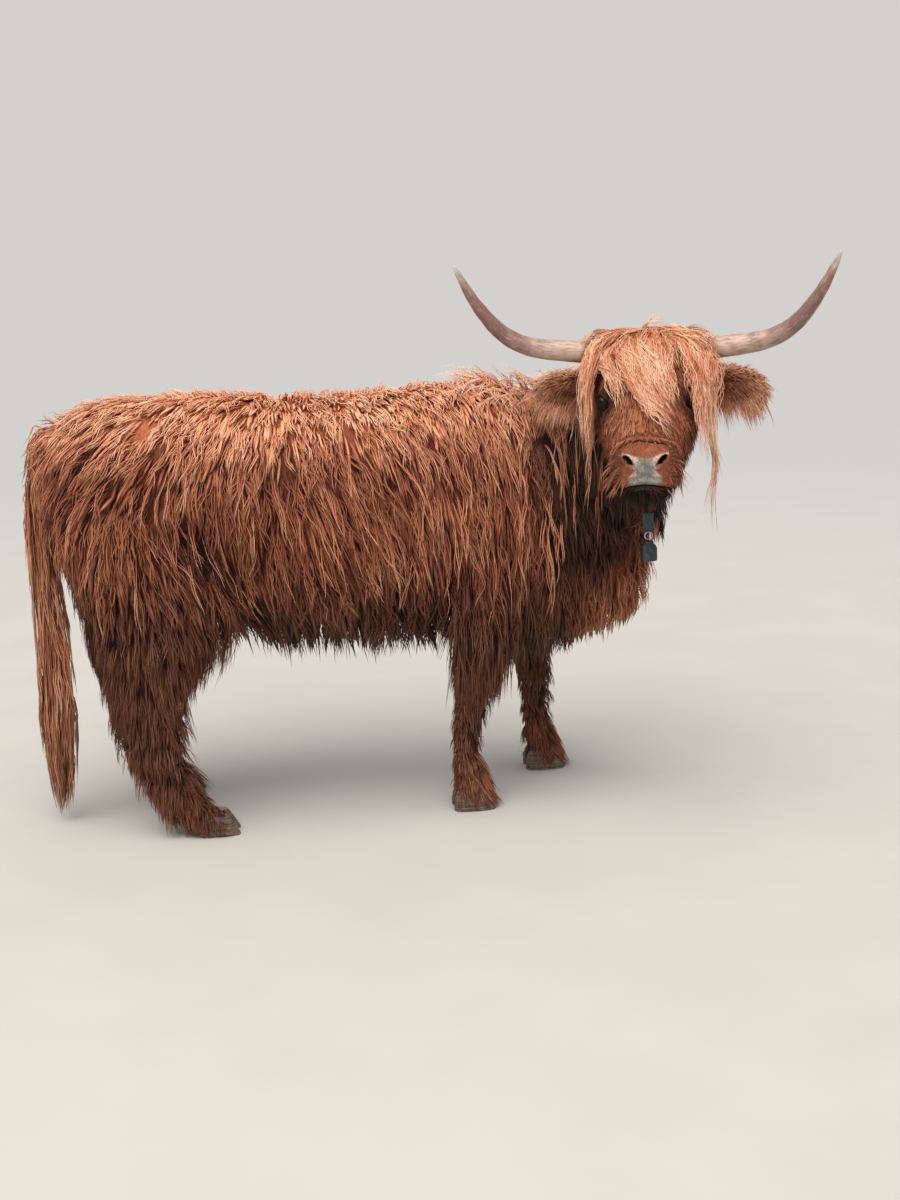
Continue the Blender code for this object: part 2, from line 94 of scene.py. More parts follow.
def box_middle(node):
    low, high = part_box(node)
    return np.array((low + high) / 2)


EYE_R = (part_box("eye_L")[1].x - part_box("eye_L")[0].x) / 2
EYE_AT = {side: box_middle("eye_" + tag) for side, tag in ((1, "L"), (-1, "R"))}
print("eyes apart", np.linalg.norm(EYE_AT[1] - EYE_AT[-1]).round(4), "left one", to_head(EYE_AT[1]).round(3))

# %% [markdown]
# ## Small helpers
# Colours are written as sRGB hex and turned linear here. One function adds a node with its settings and
# links, and new_finish hands it over for the material at hand. Meshes that come from arrays go through
# one builder, and modifiers are applied as they are added.

# %% Helpers for colour, nodes and meshes


def linear(text):
    """sRGB hex to linear RGBA."""
    parts = [int(text[k:k + 2], 16) / 255 for k in (1, 3, 5)]
    return tuple(c / 12.92 if c <= 0.04045 else ((c + 0.055) / 1.055) ** 2.4 for c in parts) + (1.0,)


def feed(node, links):
    """Gives a node's inputs, by name or number, another node's output, a number or a hex colour."""
    for key, source in links.items() if isinstance(links, dict) else enumerate(links):
        if isinstance(source, bpy.types.NodeSocket):
            node.id_data.links.new(source, node.inputs[key])
        else:
            node.inputs[key].default_value = linear(source) if isinstance(source, str) else source


def add_node(tree, kind, links=(), out=0, stops=(), **settings):
    """Adds a node with its settings, its links and a ramp's (place, hex) stops. Returns one of its outputs."""
    node = tree.nodes.new("ShaderNode" + kind)
    for key, value in settings.items():
        setattr(node, key, value)
    for _ in stops[2:]:
        node.color_ramp.elements.new(0.5)
    for element, (place, colour) in zip(node.color_ramp.elements if stops else (), stops):
        element.position, element.color = place, linear(colour)
    feed(node, links)
    return node.outputs[out]


def new_finish(name, **constants):
    """A named Principled material, its shader, and add_node for its own tree."""
    made = bpy.data.materials.new(name)
    made.use_nodes = True
    shader = made.node_tree.nodes["Principled BSDF"]
    feed(shader, {key.replace("_", " "): value for key, value in constants.items()})
    return made, shader, partial(add_node, made.node_tree)


def place_in_scene(name, data):
    """An object for a mesh, lamp or camera, linked to the scene."""
    made = bpy.data.objects.new(name, data)
    bpy.context.scene.collection.objects.link(made)
    return made


def deselect():
    bpy.ops.object.select_all(action="DESELECT")


def activate(thing):
    deselect()
    thing.select_set(True)
    bpy.context.view_layer.objects.active = thing


def settle(thing, kind, **settings):
    """Adds a modifier, sets it and applies it."""
    activate(thing)
    modifier = thing.modifiers.new(kind.lower(), kind)
    for key, value in settings.items():
        setattr(modifier, key, value)
    bpy.ops.object.modifier_apply(modifier=modifier.name)


def turn_outward(mesh):
    work = bmesh.new()
    work.from_mesh(mesh)
    bmesh.ops.recalc_face_normals(work, faces=work.faces)
    work.to_mesh(mesh)
    work.free()


def mesh_object(name, points, faces):
    """A smooth mesh object from lists, its faces turned outward."""
    mesh = bpy.data.meshes.new(name)
    mesh.from_pydata([tuple(p) for p in points], [], faces)
    turn_outward(mesh)
    mesh.polygons.foreach_set("use_smooth", [True] * len(mesh.polygons))
    return place_in_scene(name, mesh)


def read_rows(items, key, width=3, kind=np.float64):
    """One array of rows from a mesh's own list, such as the places of its vertices."""
    flat = np.empty(len(items) * width, kind)
    items.foreach_get(key, flat)
    return flat.reshape(-1, width)


def lay_mark(mesh, key, values):
    """Keeps a number for each point of a mesh, for the finishes to read."""
    mesh.attributes.new(key, "FLOAT", "POINT").data.foreach_set("value", values.astype(np.float32).ravel())


def oval(centre, side, up, half_side, half_up, roundness=2.0, count=32):
    """Points of a superellipse round a centre."""
    angle = np.linspace(0, 2 * math.pi, count, endpoint=False)
    a = np.sign(np.cos(angle)) * np.abs(np.cos(angle)) ** (2 / roundness) * half_side
    b = np.sign(np.sin(angle)) * np.abs(np.sin(angle)) ** (2 / roundness) * half_up
    return np.asarray(centre) + np.outer(a, side) + np.outer(b, up)


def skin_faces(rows, count, closed=False):
    """Faces between equal rings of count points; closed joins the last ring to the first."""
    return [(r * count + k, r * count + (k + 1) % count, (r + 1) % rows * count + (k + 1) % count,
             (r + 1) % rows * count + k) for r in range(rows if closed else rows - 1) for k in range(count)]


def closed_loop(name, rings):
    """Skins rings that run in a circle, such as a strap's."""
    return mesh_object(name, np.vstack(rings), skin_faces(len(rings), len(rings[0]), closed=True))


def loft(name, rings):
    """Skins a row of equal rings and closes both ends with a fan."""
    count = len(rings[0])
    points = np.vstack(rings)
    faces = skin_faces(len(rings), count)
    ends = np.vstack([points, rings[0].mean(0), rings[-1].mean(0)])
    first, last = len(points), len(points) + 1
    base = len(points) - count
    faces += [(first, (k + 1) % count, k) for k in range(count)]
    faces += [(last, base + k, base + (k + 1) % count) for k in range(count)]
    return mesh_object(name, ends, faces)


def spline_rows(rows, steps=3):
    """Smooth rows of numbers: a Catmull-Rom curve through them, `steps` new rows to each gap."""
    table = np.asarray(rows, float)
    padded = np.vstack([2 * table[0] - table[1], table, 2 * table[-1] - table[-2]])
    t = (np.arange(steps) / steps)[:, None]
    out = []
    for k in range(len(table) - 1):
        p0, p1, p2, p3 = padded[k:k + 4]
        out.append(0.5 * (2 * p1 + (p2 - p0) * t + (2 * p0 - 5 * p1 + 4 * p2 - p3) * t ** 2
                          + (3 * p1 - p0 - 3 * p2 + p3) * t ** 3))
    return np.vstack(out + [table[-1:]])


def metres(rows, plain=0):
    """Rows written in millimetres, in metres. The last columns may be plain numbers."""
    table = np.array(rows, float)
    table[:, :table.shape[1] - plain] /= 1000
    return table


def ease(low, high, x):
    """0 below low, 1 above high, and an S-curve between. With low over high it falls instead."""
    t = np.clip((np.asarray(x, float) - low) / (high - low), 0, 1)
    return t * t * (3 - 2 * t)


def unit(vectors):
    return vectors / np.maximum(np.linalg.norm(vectors, axis=-1, keepdims=True), 1e-9)


print("helpers ready")

# %% [markdown]
# ## The hide
# Under its hair a highland cow is an ordinary, rather lean cow. Its forms are written as stations, the
# way a boat's lines are: for each place along the body, the height of the back and of the belly, the
# half width, and how square the section is. The lofts overlap, and a voxel remesh turns them into one
# closed skin.

# %% Stations of the hide
# in millimetres. trunk: x, top z, bottom z, half width, roundness
TRUNK = metres([
    (-705, 985, 880, 45, 2.0), (-680, 1040, 790, 115, 2.1), (-625, 1088, 700, 180, 2.2),
    (-540, 1116, 640, 214, 2.3), (-440, 1124, 595, 232, 2.3), (-330, 1122, 570, 242, 2.3),
    (-200, 1117, 552, 252, 2.3), (-60, 1110, 538, 260, 2.3), (80, 1107, 532, 262, 2.3),
    (200, 1110, 530, 250, 2.3), (320, 1118, 520, 234, 2.3), (440, 1120, 498, 214, 2.2),
    (560, 1100, 462, 190, 2.1), (660, 1055, 452, 160, 2.0), (750, 980, 470, 130, 2.0), (835, 875, 515, 88, 2.0),
], plain=1)
# neck: centre, half height, half width
NECK = metres([
    (400, 0, 840, 272, 190), (550, -5, 868, 246, 160), (660, -28, 908, 214, 130), (745, -72, 955, 186, 113),
    (806, -125, 994, 162, 104), (840, -185, 1018, 143, 98), (852, -235, 1032, 118, 88),
])
# dewlap: x, top z, bottom z, half width, y
DEWLAP = metres([
    (700, 880, 530, 50, -10), (780, 920, 560, 50, -35), (835, 930, 610, 40, -60), (864, 910, 680, 29, -85),
    (882, 870, 760, 20, -105),
])
# head: u, half width, w of the top, w of the underside, roundness
HEAD = metres([
    (-80, 70, -12, -165, 2.1), (-45, 96, 14, -182, 2.5), (0, 112, 30, -186, 2.9), (45, 118, 30, -184, 2.9),
    (90, 122, 22, -186, 2.8), (135, 123, 10, -190, 2.8), (180, 118, -2, -188, 2.7), (225, 109, -12, -184, 2.6),
    (270, 97, -19, -176, 2.5), (315, 86, -24, -168, 2.5), (350, 81, -27, -163, 2.6), (385, 86, -26, -160, 2.45),
    (412, 87, -29, -155, 2.4), (428, 86, -38, -148, 2.4), (442, 82, -49, -138, 2.4), (453, 74, -61, -124, 2.6),
    (461, 62, -70, -111, 2.5), (466, 45, -77, -101, 2.4), (469, 24, -83, -94, 2.2),
], plain=1)
# ear: v, w of the upper edge, w of the lower edge, u of the middle, half thickness
EAR = metres([
    (95, -45, -85, 52, 16), (135, -36, -98, 58, 15), (175, -26, -118, 64, 11), (215, -20, -126, 69, 9),
    (250, -24, -122, 73, 8), (280, -42, -108, 76, 6), (298, -64, -90, 78, 4),
])
# legs: z, rear x, front x, y of the middle, half width
FORE_R = metres([
    (800, 330, 500, -110, 80), (680, 325, 505, -130, 88), (580, 330, 490, -140, 80), (500, 338, 466, -143, 66),
    (430, 336, 440, -144, 54), (370, 330, 424, -143, 47), (320, 326, 410, -142, 44), (270, 322, 392, -140, 38),
    (220, 318, 376, -139, 31), (160, 314, 370, -138, 31), (120, 310, 374, -138, 38), (90, 312, 382, -138, 41),
    (62, 318, 392, -138, 41), (40, 322, 398, -138, 42), (24, 330, 396, -138, 36),
])
FORE_L = metres([
    (800, 340, 520, 110, 80), (680, 375, 550, 130, 88), (580, 415, 575, 145, 80), (500, 452, 590, 158, 66),
    (430, 486, 604, 168, 54), (370, 514, 610, 174, 47), (320, 530, 612, 178, 44), (270, 544, 614, 182, 38),
    (220, 552, 610, 185, 31), (160, 554, 610, 188, 31), (120, 554, 618, 189, 38), (90, 558, 628, 190, 41),
    (62, 564, 638, 190, 41), (40, 568, 644, 190, 42), (24, 576, 642, 190, 36),
])
HIND = metres([
    (980, -625, -405, -95, 80), (860, -648, -335, -135, 100), (760, -648, -290, -150, 104),
    (670, -620, -276, -158, 98), (590, -592, -284, -164, 87), (530, -576, -306, -170, 74),
    (480, -573, -336, -176, 62), (430, -576, -368, -180, 53), (380, -566, -392, -184, 47),
    (320, -545, -412, -187, 41), (250, -526, -418, -189, 36), (180, -512, -410, -190, 36),
    (130, -494, -390, -190, 41), (95, -464, -370, -190, 43), (62, -424, -334, -190, 43),
    (40, -396, -302, -190, 42), (24, -372, -298, -190, 36),
])
HIND_L_BACK = -0.085
# tail: z, x of the middle, radius
TAIL = metres([
    (1060, -690, 34), (1000, -722, 32), (920, -738, 28), (800, -742, 24), (650, -740, 19), (500, -738, 15),
    (350, -738, 11), (240, -742, 8),
])
BODY_VOXEL = 0.015
print("stations", sum(len(rows) for rows in (TRUNK, NECK, DEWLAP, HEAD, EAR, FORE_R, FORE_L, HIND, TAIL)))

# %% [markdown]
# A ring goes round every station. The neck's rings stand square to its bending middle line, the head's
# and ears' in the head's own axes. Then the lofts are joined and remeshed. A little smoothing melts the
# seams between them, as skin does over the joints of the limbs.

# %% Loft the hide and make it one skin
X_AX, Y_AX, Z_AX = np.eye(3)


def upright_ring(x, y, top, low, half, roundness):
    return oval((x, y, (top + low) / 2) + STAND, Y_AX, Z_AX, half, (top - low) / 2, roundness)


def neck_rings():
    rows = spline_rows(NECK, 4)
    rings = []
    for k, row in enumerate(rows):
        along = unit(rows[min(k + 1, len(rows) - 1), :3] - rows[max(k - 1, 0), :3])
        side = unit(np.cross(UP, along))
        rings.append(oval(row[:3] + STAND, side, np.cross(along, side), row[4], row[3], 2.1))
    return rings


def head_oval(u, v, top, low, across, half, roundness, count):
    """A section of head or ear in the head's own frame, between two heights."""
    middle, half_up = in_head(u, v, (top + low) / 2), (top - low) / 2
    return to_head(oval(middle, across * HEAD_SIZE, HW * HEAD_SIZE, half, half_up, roundness, count))


def head_rings():
    rings = []
    for u, half, top, low, n in spline_rows(HEAD, 4):
        ring = head_oval(u, 0, top, low, HV, half, n, 48)
        ring[:, 1] *= 1 - 0.3 * ease(0.08, 0.155, -ring[:, 2]) * ease(0.34, 0.4, u)
        rings.append(from_head(ring))
    return rings


def ear_rings(side):
    """Rings along an ear, each bent into a cup that opens forward."""
    rings = []
    for v, top, low, u, thick in spline_rows(EAR, 6):
        half = (top - low) / 2
        ring = head_oval(u, side * v, top, low, HU, thick, 2.2, 28)
        cup = 0.016 * ease(0.11, 0.17, v) * (1 - ease(0.24, 0.3, v))
        ring[:, 0] -= cup * (1 - ((ring[:, 2] - (top + low) / 2) / half) ** 2)
        rings.append(from_head(ring))
    return rings


def leg_rings(rows, flip=1, back=0.0):
    return [oval(((rear + front) / 2 + back, flip * y, z) + STAND, X_AX, Y_AX, (front - rear) / 2, half, 2.1)
            for z, rear, front, y, half in spline_rows(rows)]


def join(things, name):
    deselect()
    for thing in things:
        thing.select_set(True)
    bpy.context.view_layer.objects.active = things[0]
    bpy.ops.object.join()
    things[0].name = name
    return things[0]


hide = join([loft("form", rings) for rings in (
    [upright_ring(x, 0, top, low, half, n) for x, top, low, half, n in spline_rows(TRUNK)],
    [upright_ring(x, y, top, low, half, 2.0) for x, top, low, half, y in spline_rows(DEWLAP)],
    neck_rings(), head_rings(), leg_rings(FORE_R), leg_rings(FORE_L), leg_rings(HIND),
    leg_rings(HIND, -1, HIND_L_BACK))], "hide")
settle(hide, "REMESH", mode="VOXEL", voxel_size=BODY_VOXEL)
settle(hide, "SMOOTH", factor=0.5, iterations=4)
print("hide", len(hide.data.polygons), "faces")

# %% [markdown]
# ## A finer mesh for the head
# The remesh leaves faces about a centimetre across, enough under fur but not for a face. The head's
# faces are cut finer once, the muzzle's and the eyelids' up to three times more. Each vertex is then
# drawn back onto the head's own loft, which the remesh had rounded off, so the muzzle is crisp again
# before anything is carved.

# %% Subdivide the head, then draw it onto its loft
FACE_FROM_U = 0.05


def hide_points():
    return read_rows(hide.data.vertices, "co")


def set_hide_points(points):
    hide.data.vertices.foreach_set("co", np.asarray(points, float).ravel())
    hide.data.update()


def eye_distance(points):
    """Distance to the middle of the nearer eye."""
    return np.min([np.linalg.norm(points - at, axis=1) for at in EYE_AT.values()], axis=0)


def subdivide_where(chosen):
    """Cuts the edges whose two ends are both chosen."""
    work = bmesh.new()
    work.from_mesh(hide.data)
    work.verts.ensure_lookup_table()
    edges = [e for e in work.edges if chosen[e.verts[0].index] and chosen[e.verts[1].index]]
    bmesh.ops.subdivide_edges(work, edges=edges, cuts=1, use_grid_fill=True)
    work.to_mesh(hide.data)
    work.free()


def near_face(points, grow=0.0):
    u, v, w = to_head(points).T
    return (u > FACE_FROM_U - grow) & (u < 0.52) & (np.abs(v) < 0.128 + grow) & (w > -0.24) & (w < 0.06)


subdivide_where(near_face(hide_points(), 0.01))
for from_u, from_w, eye_reach in ((0.33, -0.2, 0.04), (0.355, -0.16, 0.034), (0.396, -0.122, 0.025)):
    heads = to_head(hide_points())
    crease_band = (np.abs(heads[:, 0] - 0.366) < 0.012) & (heads[:, 2] > -0.1)
    fine = (heads[:, 0] > from_u) & (heads[:, 2] > from_w) | (from_u > 0.35) & crease_band
    subdivide_where(near_face(hide_points()) & fine | (eye_distance(hide_points()) < eye_reach))

guide = loft("guide", head_rings())
settle(guide, "SUBSURF", levels=1, render_levels=1)
guide_mesh = bmesh.new()
guide_mesh.from_mesh(guide.data)
guide_tree = BVHTree.FromBMesh(guide_mesh)
points = hide_points()
heads = to_head(points)
pull = ease(0.1, 0.17, heads[:, 0]) * near_face(points)
for k in np.flatnonzero(pull > 0):
    place, _, _, gap = guide_tree.find_nearest(points[k])
    if gap < 0.02:
        points[k] += pull[k] * (np.array(place) - points[k])
set_hide_points(points)
guide_mesh.free()
bpy.data.objects.remove(guide)

# %% [markdown]
# The ears and the tail are too thin for the remesh, which would tear them. They are lofted finely and
# joined to the hide by a Boolean union instead, so the hide stays one closed skin.

# %% Join ears and tail
tail_rings = [oval((x, 0, z) + STAND, X_AX, Y_AX, r, r) for z, x, r in spline_rows(TAIL)]
for rings in (ear_rings(1), ear_rings(-1), tail_rings):
    form = loft("thin_form", rings)
    settle(hide, "BOOLEAN", operation="UNION", object=form, solver="EXACT")
    bpy.data.objects.remove(form)
hide.data.calc_loop_triangles()
print("hide", len(hide.data.loop_triangles), "triangles")

# %% [markdown]
# ## Carving the face
# A cow's muzzle ends in a bare nose pad that slopes from between the nostrils down to the lip, and the
# hairy skin behind it meets the bridge of the nose in a fold. Each of these is a small push in or out
# along the normal, strong near a line and fading away from it, so every one is a few numbers that can
# be moved by hand.

# %% Lines of the face, and how strongly each point of the hide belongs to them
PAD_TOP, PAD_SLOPE = (0.413, -0.031), (0.675, -0.738)
CREASE_U = 0.369
NOSTRIL = metres([
    (410, 53.5, -36), (415.5, 50, -37), (422.5, 43.5, -41), (430, 36.5, -45.5), (435.5, 30, -50),
])
NOSTRIL_R = [0.003, 0.0062, 0.0085, 0.0088, 0.0058]


def near(distance, width):
    return np.exp(-(distance / width) ** 2)


def distance_to_line(points, line, radii=None):
    """Distance to a polyline, and the radius at the nearest place on it."""
    best, size = np.full(len(points), 9.0), np.zeros(len(points))
    for k in range(len(line) - 1):
        step = line[k + 1] - line[k]
        t = np.clip((points - line[k]) @ step / (step @ step), 0, 1)
        gap = np.linalg.norm(points - line[k] - t[:, None] * step, axis=1)
        closer = gap < best
        best[closer] = gap[closer]
        if radii is not None:
            size[closer] = (radii[k] + t * (radii[k + 1] - radii[k]))[closer]
    return best, size


def mouth_w(u, v):
    """Height of the line between the lips."""
    return -0.0845 - 0.02 * (v / 0.07) ** 2 - 0.16 * np.clip(0.445 - u, 0, 0.08)


def face_zones(heads):
    """Masks over the face: nose pad, its pale rims, nostril, lip and chin, and the darker ring round the eye,
    partly bare skin and partly painted shade.
    """
    u, v, w = heads.T
    side = np.abs(v)
    front = ease(0.36, 0.4, u)
    s = (u - PAD_TOP[0]) * PAD_SLOPE[0] + (w - PAD_TOP[1]) * PAD_SLOPE[1]
    gap, size = distance_to_line(np.stack([u, side, w], 1), NOSTRIL, NOSTRIL_R)
    nostril = front * (1 - ease(0.5, 1.15, gap / np.maximum(size, 1e-4)))
    arm_top = 0.011 - 0.018 * (side / 0.055) ** 1.3
    arm_low = np.interp(side, [0, 0.027, 0.055], [0.05, 0.034, -0.001]) + 0.004
    arms = ease(-0.004, 0.004, s - arm_top) * ease(-0.004, 0.004, arm_low - s) * (side < 0.058)
    half = np.interp(s, [0.0, 0.018, 0.033, 0.045, 0.057, 0.075], [0.03, 0.03, 0.0225, 0.029, 0.042, 0.04])
    column = ease(-0.004, 0.004, half - side) * ease(-0.004, 0.004, s - arm_top)
    above_lip = ease(-0.002, 0.003, w - mouth_w(u, v))
    pad = front * above_lip * np.maximum(arms, column)
    pale = pad * np.maximum(ease(0.01, 0.026, side) * (1 - ease(0.02, 0.034, s)),
                            ease(0.018, 0.028, side) * ease(0.032, 0.04, s) * (1 - ease(0.052, 0.06, s)))
    lip = front * (1 - above_lip) * ease(0.392, 0.42, u)
    eye = np.zeros(len(u))
    for at in EYE_AT.values():
        eye = np.maximum(eye, near(np.linalg.norm(heads - to_head(at) - [0.01, 0, -0.006], axis=1), 0.031))
    return dict(pad=pad, pale=pale, nostril=nostril, lip=lip, eye=ease(0.25, 0.75, eye), s=s, gap=gap)


def hide_normals():
    return read_rows(hide.data.vertex_normals, "vector")


def crease_gap(u, v):
    """How far below the fold over the muzzle a place is. The fold dips a little off the middle and wavers."""
    return u - CREASE_U + 0.006 * near(v + 0.016, 0.008) - 0.002 * np.sin(v * 55)


points, normals = hide_points(), hide_normals()
heads = to_head(points)
u, v, w = heads.T
side = np.abs(v)
face = near_face(points, 0.01) & (u > 0.03)
top_only = ease(-0.135, -0.11, w)
crease = crease_gap(u, v)
push = top_only * (-0.0055 * near(crease, 0.0026) + 0.0048 * near(crease + 0.0105, 0.0095)
                   + 0.0022 * near(crease - 0.012, 0.009))
push += -0.0016 * near(crease + 0.03 + 0.006 * near(v, 0.04), 0.003) * ease(0.02, 0.05, side) * top_only
zones = face_zones(heads)
push += 0.0026 * near(zones["gap"] - 0.0095, 0.0045) * ease(0.385, 0.41, u)
push += -0.0012 * near(v, 0.0022) * ease(0.01, 0.02, zones["s"]) * zones["pad"]
line = w - mouth_w(u, v)
at_mouth = ease(0.355, 0.385, u)
push += at_mouth * (-0.0055 * near(line, 0.0024) + 0.003 * near(line - 0.008, 0.006))
push += at_mouth * -0.0028 * ease(0.0, 0.012, -line) * ease(0.41, 0.44, u)
push += 0.006 * near(np.linalg.norm(heads - [0.425, 0, -0.138], axis=1), 0.03)
mirrored = np.stack([u, side, w], 1)
for at, radius, height in (((0.13, 0.112, -0.014), 0.026, 0.007), ((0.075, 0.112, -0.115), 0.048, 0.006),
                           ((0.235, 0.098, -0.085), 0.022, 0.0035), ((0.29, 0.086, -0.08), 0.022, 0.0035),
                           ((0.205, 0.1, -0.04), 0.02, -0.005), ((0.052, 0.055, 0.025), 0.04, 0.004),
                           ((0.4, 0.07, -0.085), 0.026, 0.003)):
    push += height * near(np.linalg.norm(mirrored - at, axis=1), radius)
points[face] += (normals * push[:, None])[face]
nostril_at = zones["nostril"].copy()
sink = nostril_at * near(zones["gap"], 0.0065)
points[face] += (sink[:, None] * (-0.024 * HU + 0.004 * np.sign(v)[:, None] * HV - 0.008 * HW))[face]
set_hide_points(points)
print("carved", int((np.abs(push) > 0.0005).sum()), "points")

# %% [markdown]
# ## Eyes and lids
# The eyeball is a little sphere set in a socket, and the lids are folds of skin that slide over it. The
# hide is drawn over each eyeball as a dome, except inside an almond, where it is tucked behind. A
# rounded rim then follows the almond, thicker above than below, and a second fold lies over the upper
# lid.

# %% Almond, dome and rims
GAZE = {side: unit(np.array([0.56, 0.66 * side, 0.5]) @ HEAD_AXES) for side in (1, -1)}
LID_LONG, LID_UP, LID_DOWN = 0.96, 0.62, 0.56
LID_THICK = 0.003


def eye_axes(side):
    """Outward, toward the muzzle, and up along the lids, for one eye."""
    g = GAZE[side]
    long_way = 0.66 * HU - 0.7 * side * HV + 0.22 * HW
    a = unit(long_way - long_way @ g * g)
    b = np.cross(g, a)
    return g, a, b * np.sign(b @ HW)


def almond(x):
    """Upper and lower edge of the opening on a unit sphere, x from corner to corner."""
    t = np.clip(np.abs(x) / LID_LONG, 0, 1)
    return LID_UP * (1 - t ** 2.1) + 0.02, -LID_DOWN * (1 - t ** 2.4) + 0.02


points = hide_points()
for side in (1, -1):
    g, a, b = eye_axes(side)
    rel = points - EYE_AT[side]
    x, y, z = rel @ a, rel @ b, rel @ g
    rho = np.hypot(x, y)
    chosen = (rho < EYE_R + 0.022) & (np.abs(z) < 0.045)
    over = EYE_R + LID_THICK
    dome = np.sqrt(np.maximum(over ** 2 - rho ** 2, 0)) - 0.9 * np.maximum(rho - EYE_R - LID_THICK, 0) - 0.004
    dome += 0.003 * near(y - 0.016, 0.006) * (rho > 0.012)
    blend = np.clip(0.5 + 0.5 * (z - dome) / 0.01, 0, 1)
    out = z * blend + dome * (1 - blend) + 0.01 * blend * (1 - blend)
    socket = 1 - ease(EYE_R * 0.95, EYE_R + 0.014, rho)
    out = out * (1 - socket) + np.minimum(out, dome) * socket
    high, low = almond(x / EYE_R)
    within = (np.abs(x) < LID_LONG * EYE_R) & (y < high * EYE_R) & (y > low * EYE_R)
    out = np.where(within, np.sqrt(np.maximum((EYE_R - 0.005) ** 2 - rho ** 2, 0)) - 0.002, out)
    points[chosen] += ((out - z)[:, None] * g)[chosen]
set_hide_points(points)


def sphere_at(side, x, y, radius):
    g, a, b = eye_axes(side)
    z = np.sqrt(np.maximum(1 - x ** 2 - y ** 2, 0.0))
    return EYE_AT[side] + radius * (x[:, None] * a + y[:, None] * b + z[:, None] * g)


def lid_ring(side, lift, thick_up, thick_down, name, upper_only=False):
    """A rounded rim that follows the opening over the eyeball."""
    turn = np.linspace(0, 2 * math.pi, 56, endpoint=False)
    if upper_only:
        turn = np.linspace(0.1, math.pi - 0.1, 34)
    x = LID_LONG * np.cos(turn)
    high, low = almond(x)
    y = np.where(np.sin(turn) >= 0, high, low) + (lift if upper_only else 0.0)
    path = sphere_at(side, x, y, EYE_R + 0.0014 - (0.001 if upper_only else 0))
    ahead = np.roll(path, -1, 0) - np.roll(path, 1, 0)
    if upper_only:
        ahead = np.gradient(path, axis=0)
    along = unit(ahead)
    out = unit(path - EYE_AT[side])
    across = np.cross(along, out)
    thick = np.where(np.sin(turn) >= 0, thick_up, thick_down) * (0.72 + 0.28 * np.abs(np.sin(turn)))
    if upper_only:
        thick = thick * np.sin(turn) ** 0.5
    rings = [oval(p, c, o, t, t * 0.85, count=10) for p, c, o, t in zip(path, across, out, thick)]
    return loft(name, rings) if upper_only else closed_loop(name, rings)


lids = []
for side, tag in ((1, "L"), (-1, "R")):
    rim = lid_ring(side, 0, 0.0022, 0.0018, "rim")
    fold = lid_ring(side, 0.2, 0.002, 0, "fold", upper_only=True)
    lids.append(join([rim, fold], "eyelids_" + tag))
print("lids", [len(lid.data.polygons) for lid in lids])

# %% [markdown]
# The eyeball itself is made finer than its solid, with the slight bulge of the cornea in front. Where a
# point lies on the ball, seen from its own centre, is kept on it as an attribute, so the material can
# draw the long oval pupil.

# %% Eyeballs
eyes = []
for side, tag in ((1, "L"), (-1, "R")):
    g, a, b = eye_axes(side)
    deselect()
    bpy.ops.mesh.primitive_uv_sphere_add(segments=48, ring_count=24, radius=EYE_R, location=(0, 0, 0))
    eye = bpy.context.object
    eye.name = "eyeball_" + tag
    ball = read_rows(eye.data.vertices, "co") / EYE_R
    rim = np.hypot(ball[:, 0], ball[:, 1])
    bulge = np.where(ball[:, 2] > 0, 0.05 * (1 - ease(0.2, 0.75, rim)), 0)
    placed = EYE_AT[side] + (ball[:, :1] * a + ball[:, 1:2] * b + (ball[:, 2:] + bulge[:, None]) * g) * EYE_R
    eye.data.vertices.foreach_set("co", placed.ravel())
    lay_mark(eye.data, "across", ball[:, 0])
    lay_mark(eye.data, "upward", ball[:, 1])
    turn_outward(eye.data)
    activate(eye)
    bpy.ops.object.shade_smooth()
    eyes.append(eye)
print("eyeballs", len(eyes), "radius", round(EYE_R, 4))

# %% [markdown]
# ## Horns
# A cow's horn is a hollow sheath over a core of bone. It leaves the poll sideways, bends forward and
# up, and tapers all along. Near the head the sheath carries growth rings. The middle line is a few
# points in the head's frame, smoothed, and the rings are small waves in the radius that fade toward the
# tip.

# %% Loft the horns
HORN = metres([
    (62, -4, 18), (112, 8, 22), (174, 16, 24), (231, 25, 28), (293, 38, 32), (344, 62, 34), (385, 98, 33),
    (418, 142, 28), (445, 186, 20), (467, 230, 10), (485.5, 270.5, 0),
])
HORN_R, HORN_TIP_R = 0.0305, 0.004


def loft_horn(side, name):
    rows = spline_rows(HORN, 9)
    path = np.array([in_head(r[2], side * r[0], r[1]) for r in rows])
    step = np.linalg.norm(np.diff(path, axis=0), axis=1)
    t = np.concatenate([[0], np.cumsum(step)]) / step.sum()
    along = unit(np.gradient(path, axis=0))
    lean = unit(np.cross(along, HW))
    rings = []
    for k, place in enumerate(path):
        radius = HORN_TIP_R + (HORN_R - HORN_TIP_R) * max(0.0, 1 - t[k] ** 1.55) ** 0.72
        ridge = 0.0008 * math.sin(t[k] * 150) * (1 - ease(0.08, 0.34, t[k]))
        ridge += 0.0003 * math.sin(t[k] * 61 + side)
        side_axis, up_axis = lean[k], np.cross(along[k], lean[k])
        rings.append(oval(place, side_axis, up_axis, radius + ridge, (radius + ridge) * 0.96, count=36))
    for shrink, ahead in ((0.75, 0.0022), (0.36, 0.0036)):
        rings.append(path[-1] + (rings[len(path) - 1] - path[-1]) * shrink + along[-1] * ahead)
    horn = loft(name, rings)
    far = np.concatenate([np.repeat(np.append(t, [1, 1]), 36), [0, 1]])
    lay_mark(horn.data, "along", far)
    from_middle = np.vstack([r - r.mean(0) for r in rings] + [np.zeros((2, 3))])
    lay_mark(horn.data, "under", -(from_middle @ UP) / HORN_R)
    return horn


horns = [loft_horn(1, "horn_sheath_L"), loft_horn(-1, "horn_sheath_R")]
print("horns reach", [[round(c, 3) for c in horn.bound_box[6]] for horn in horns])

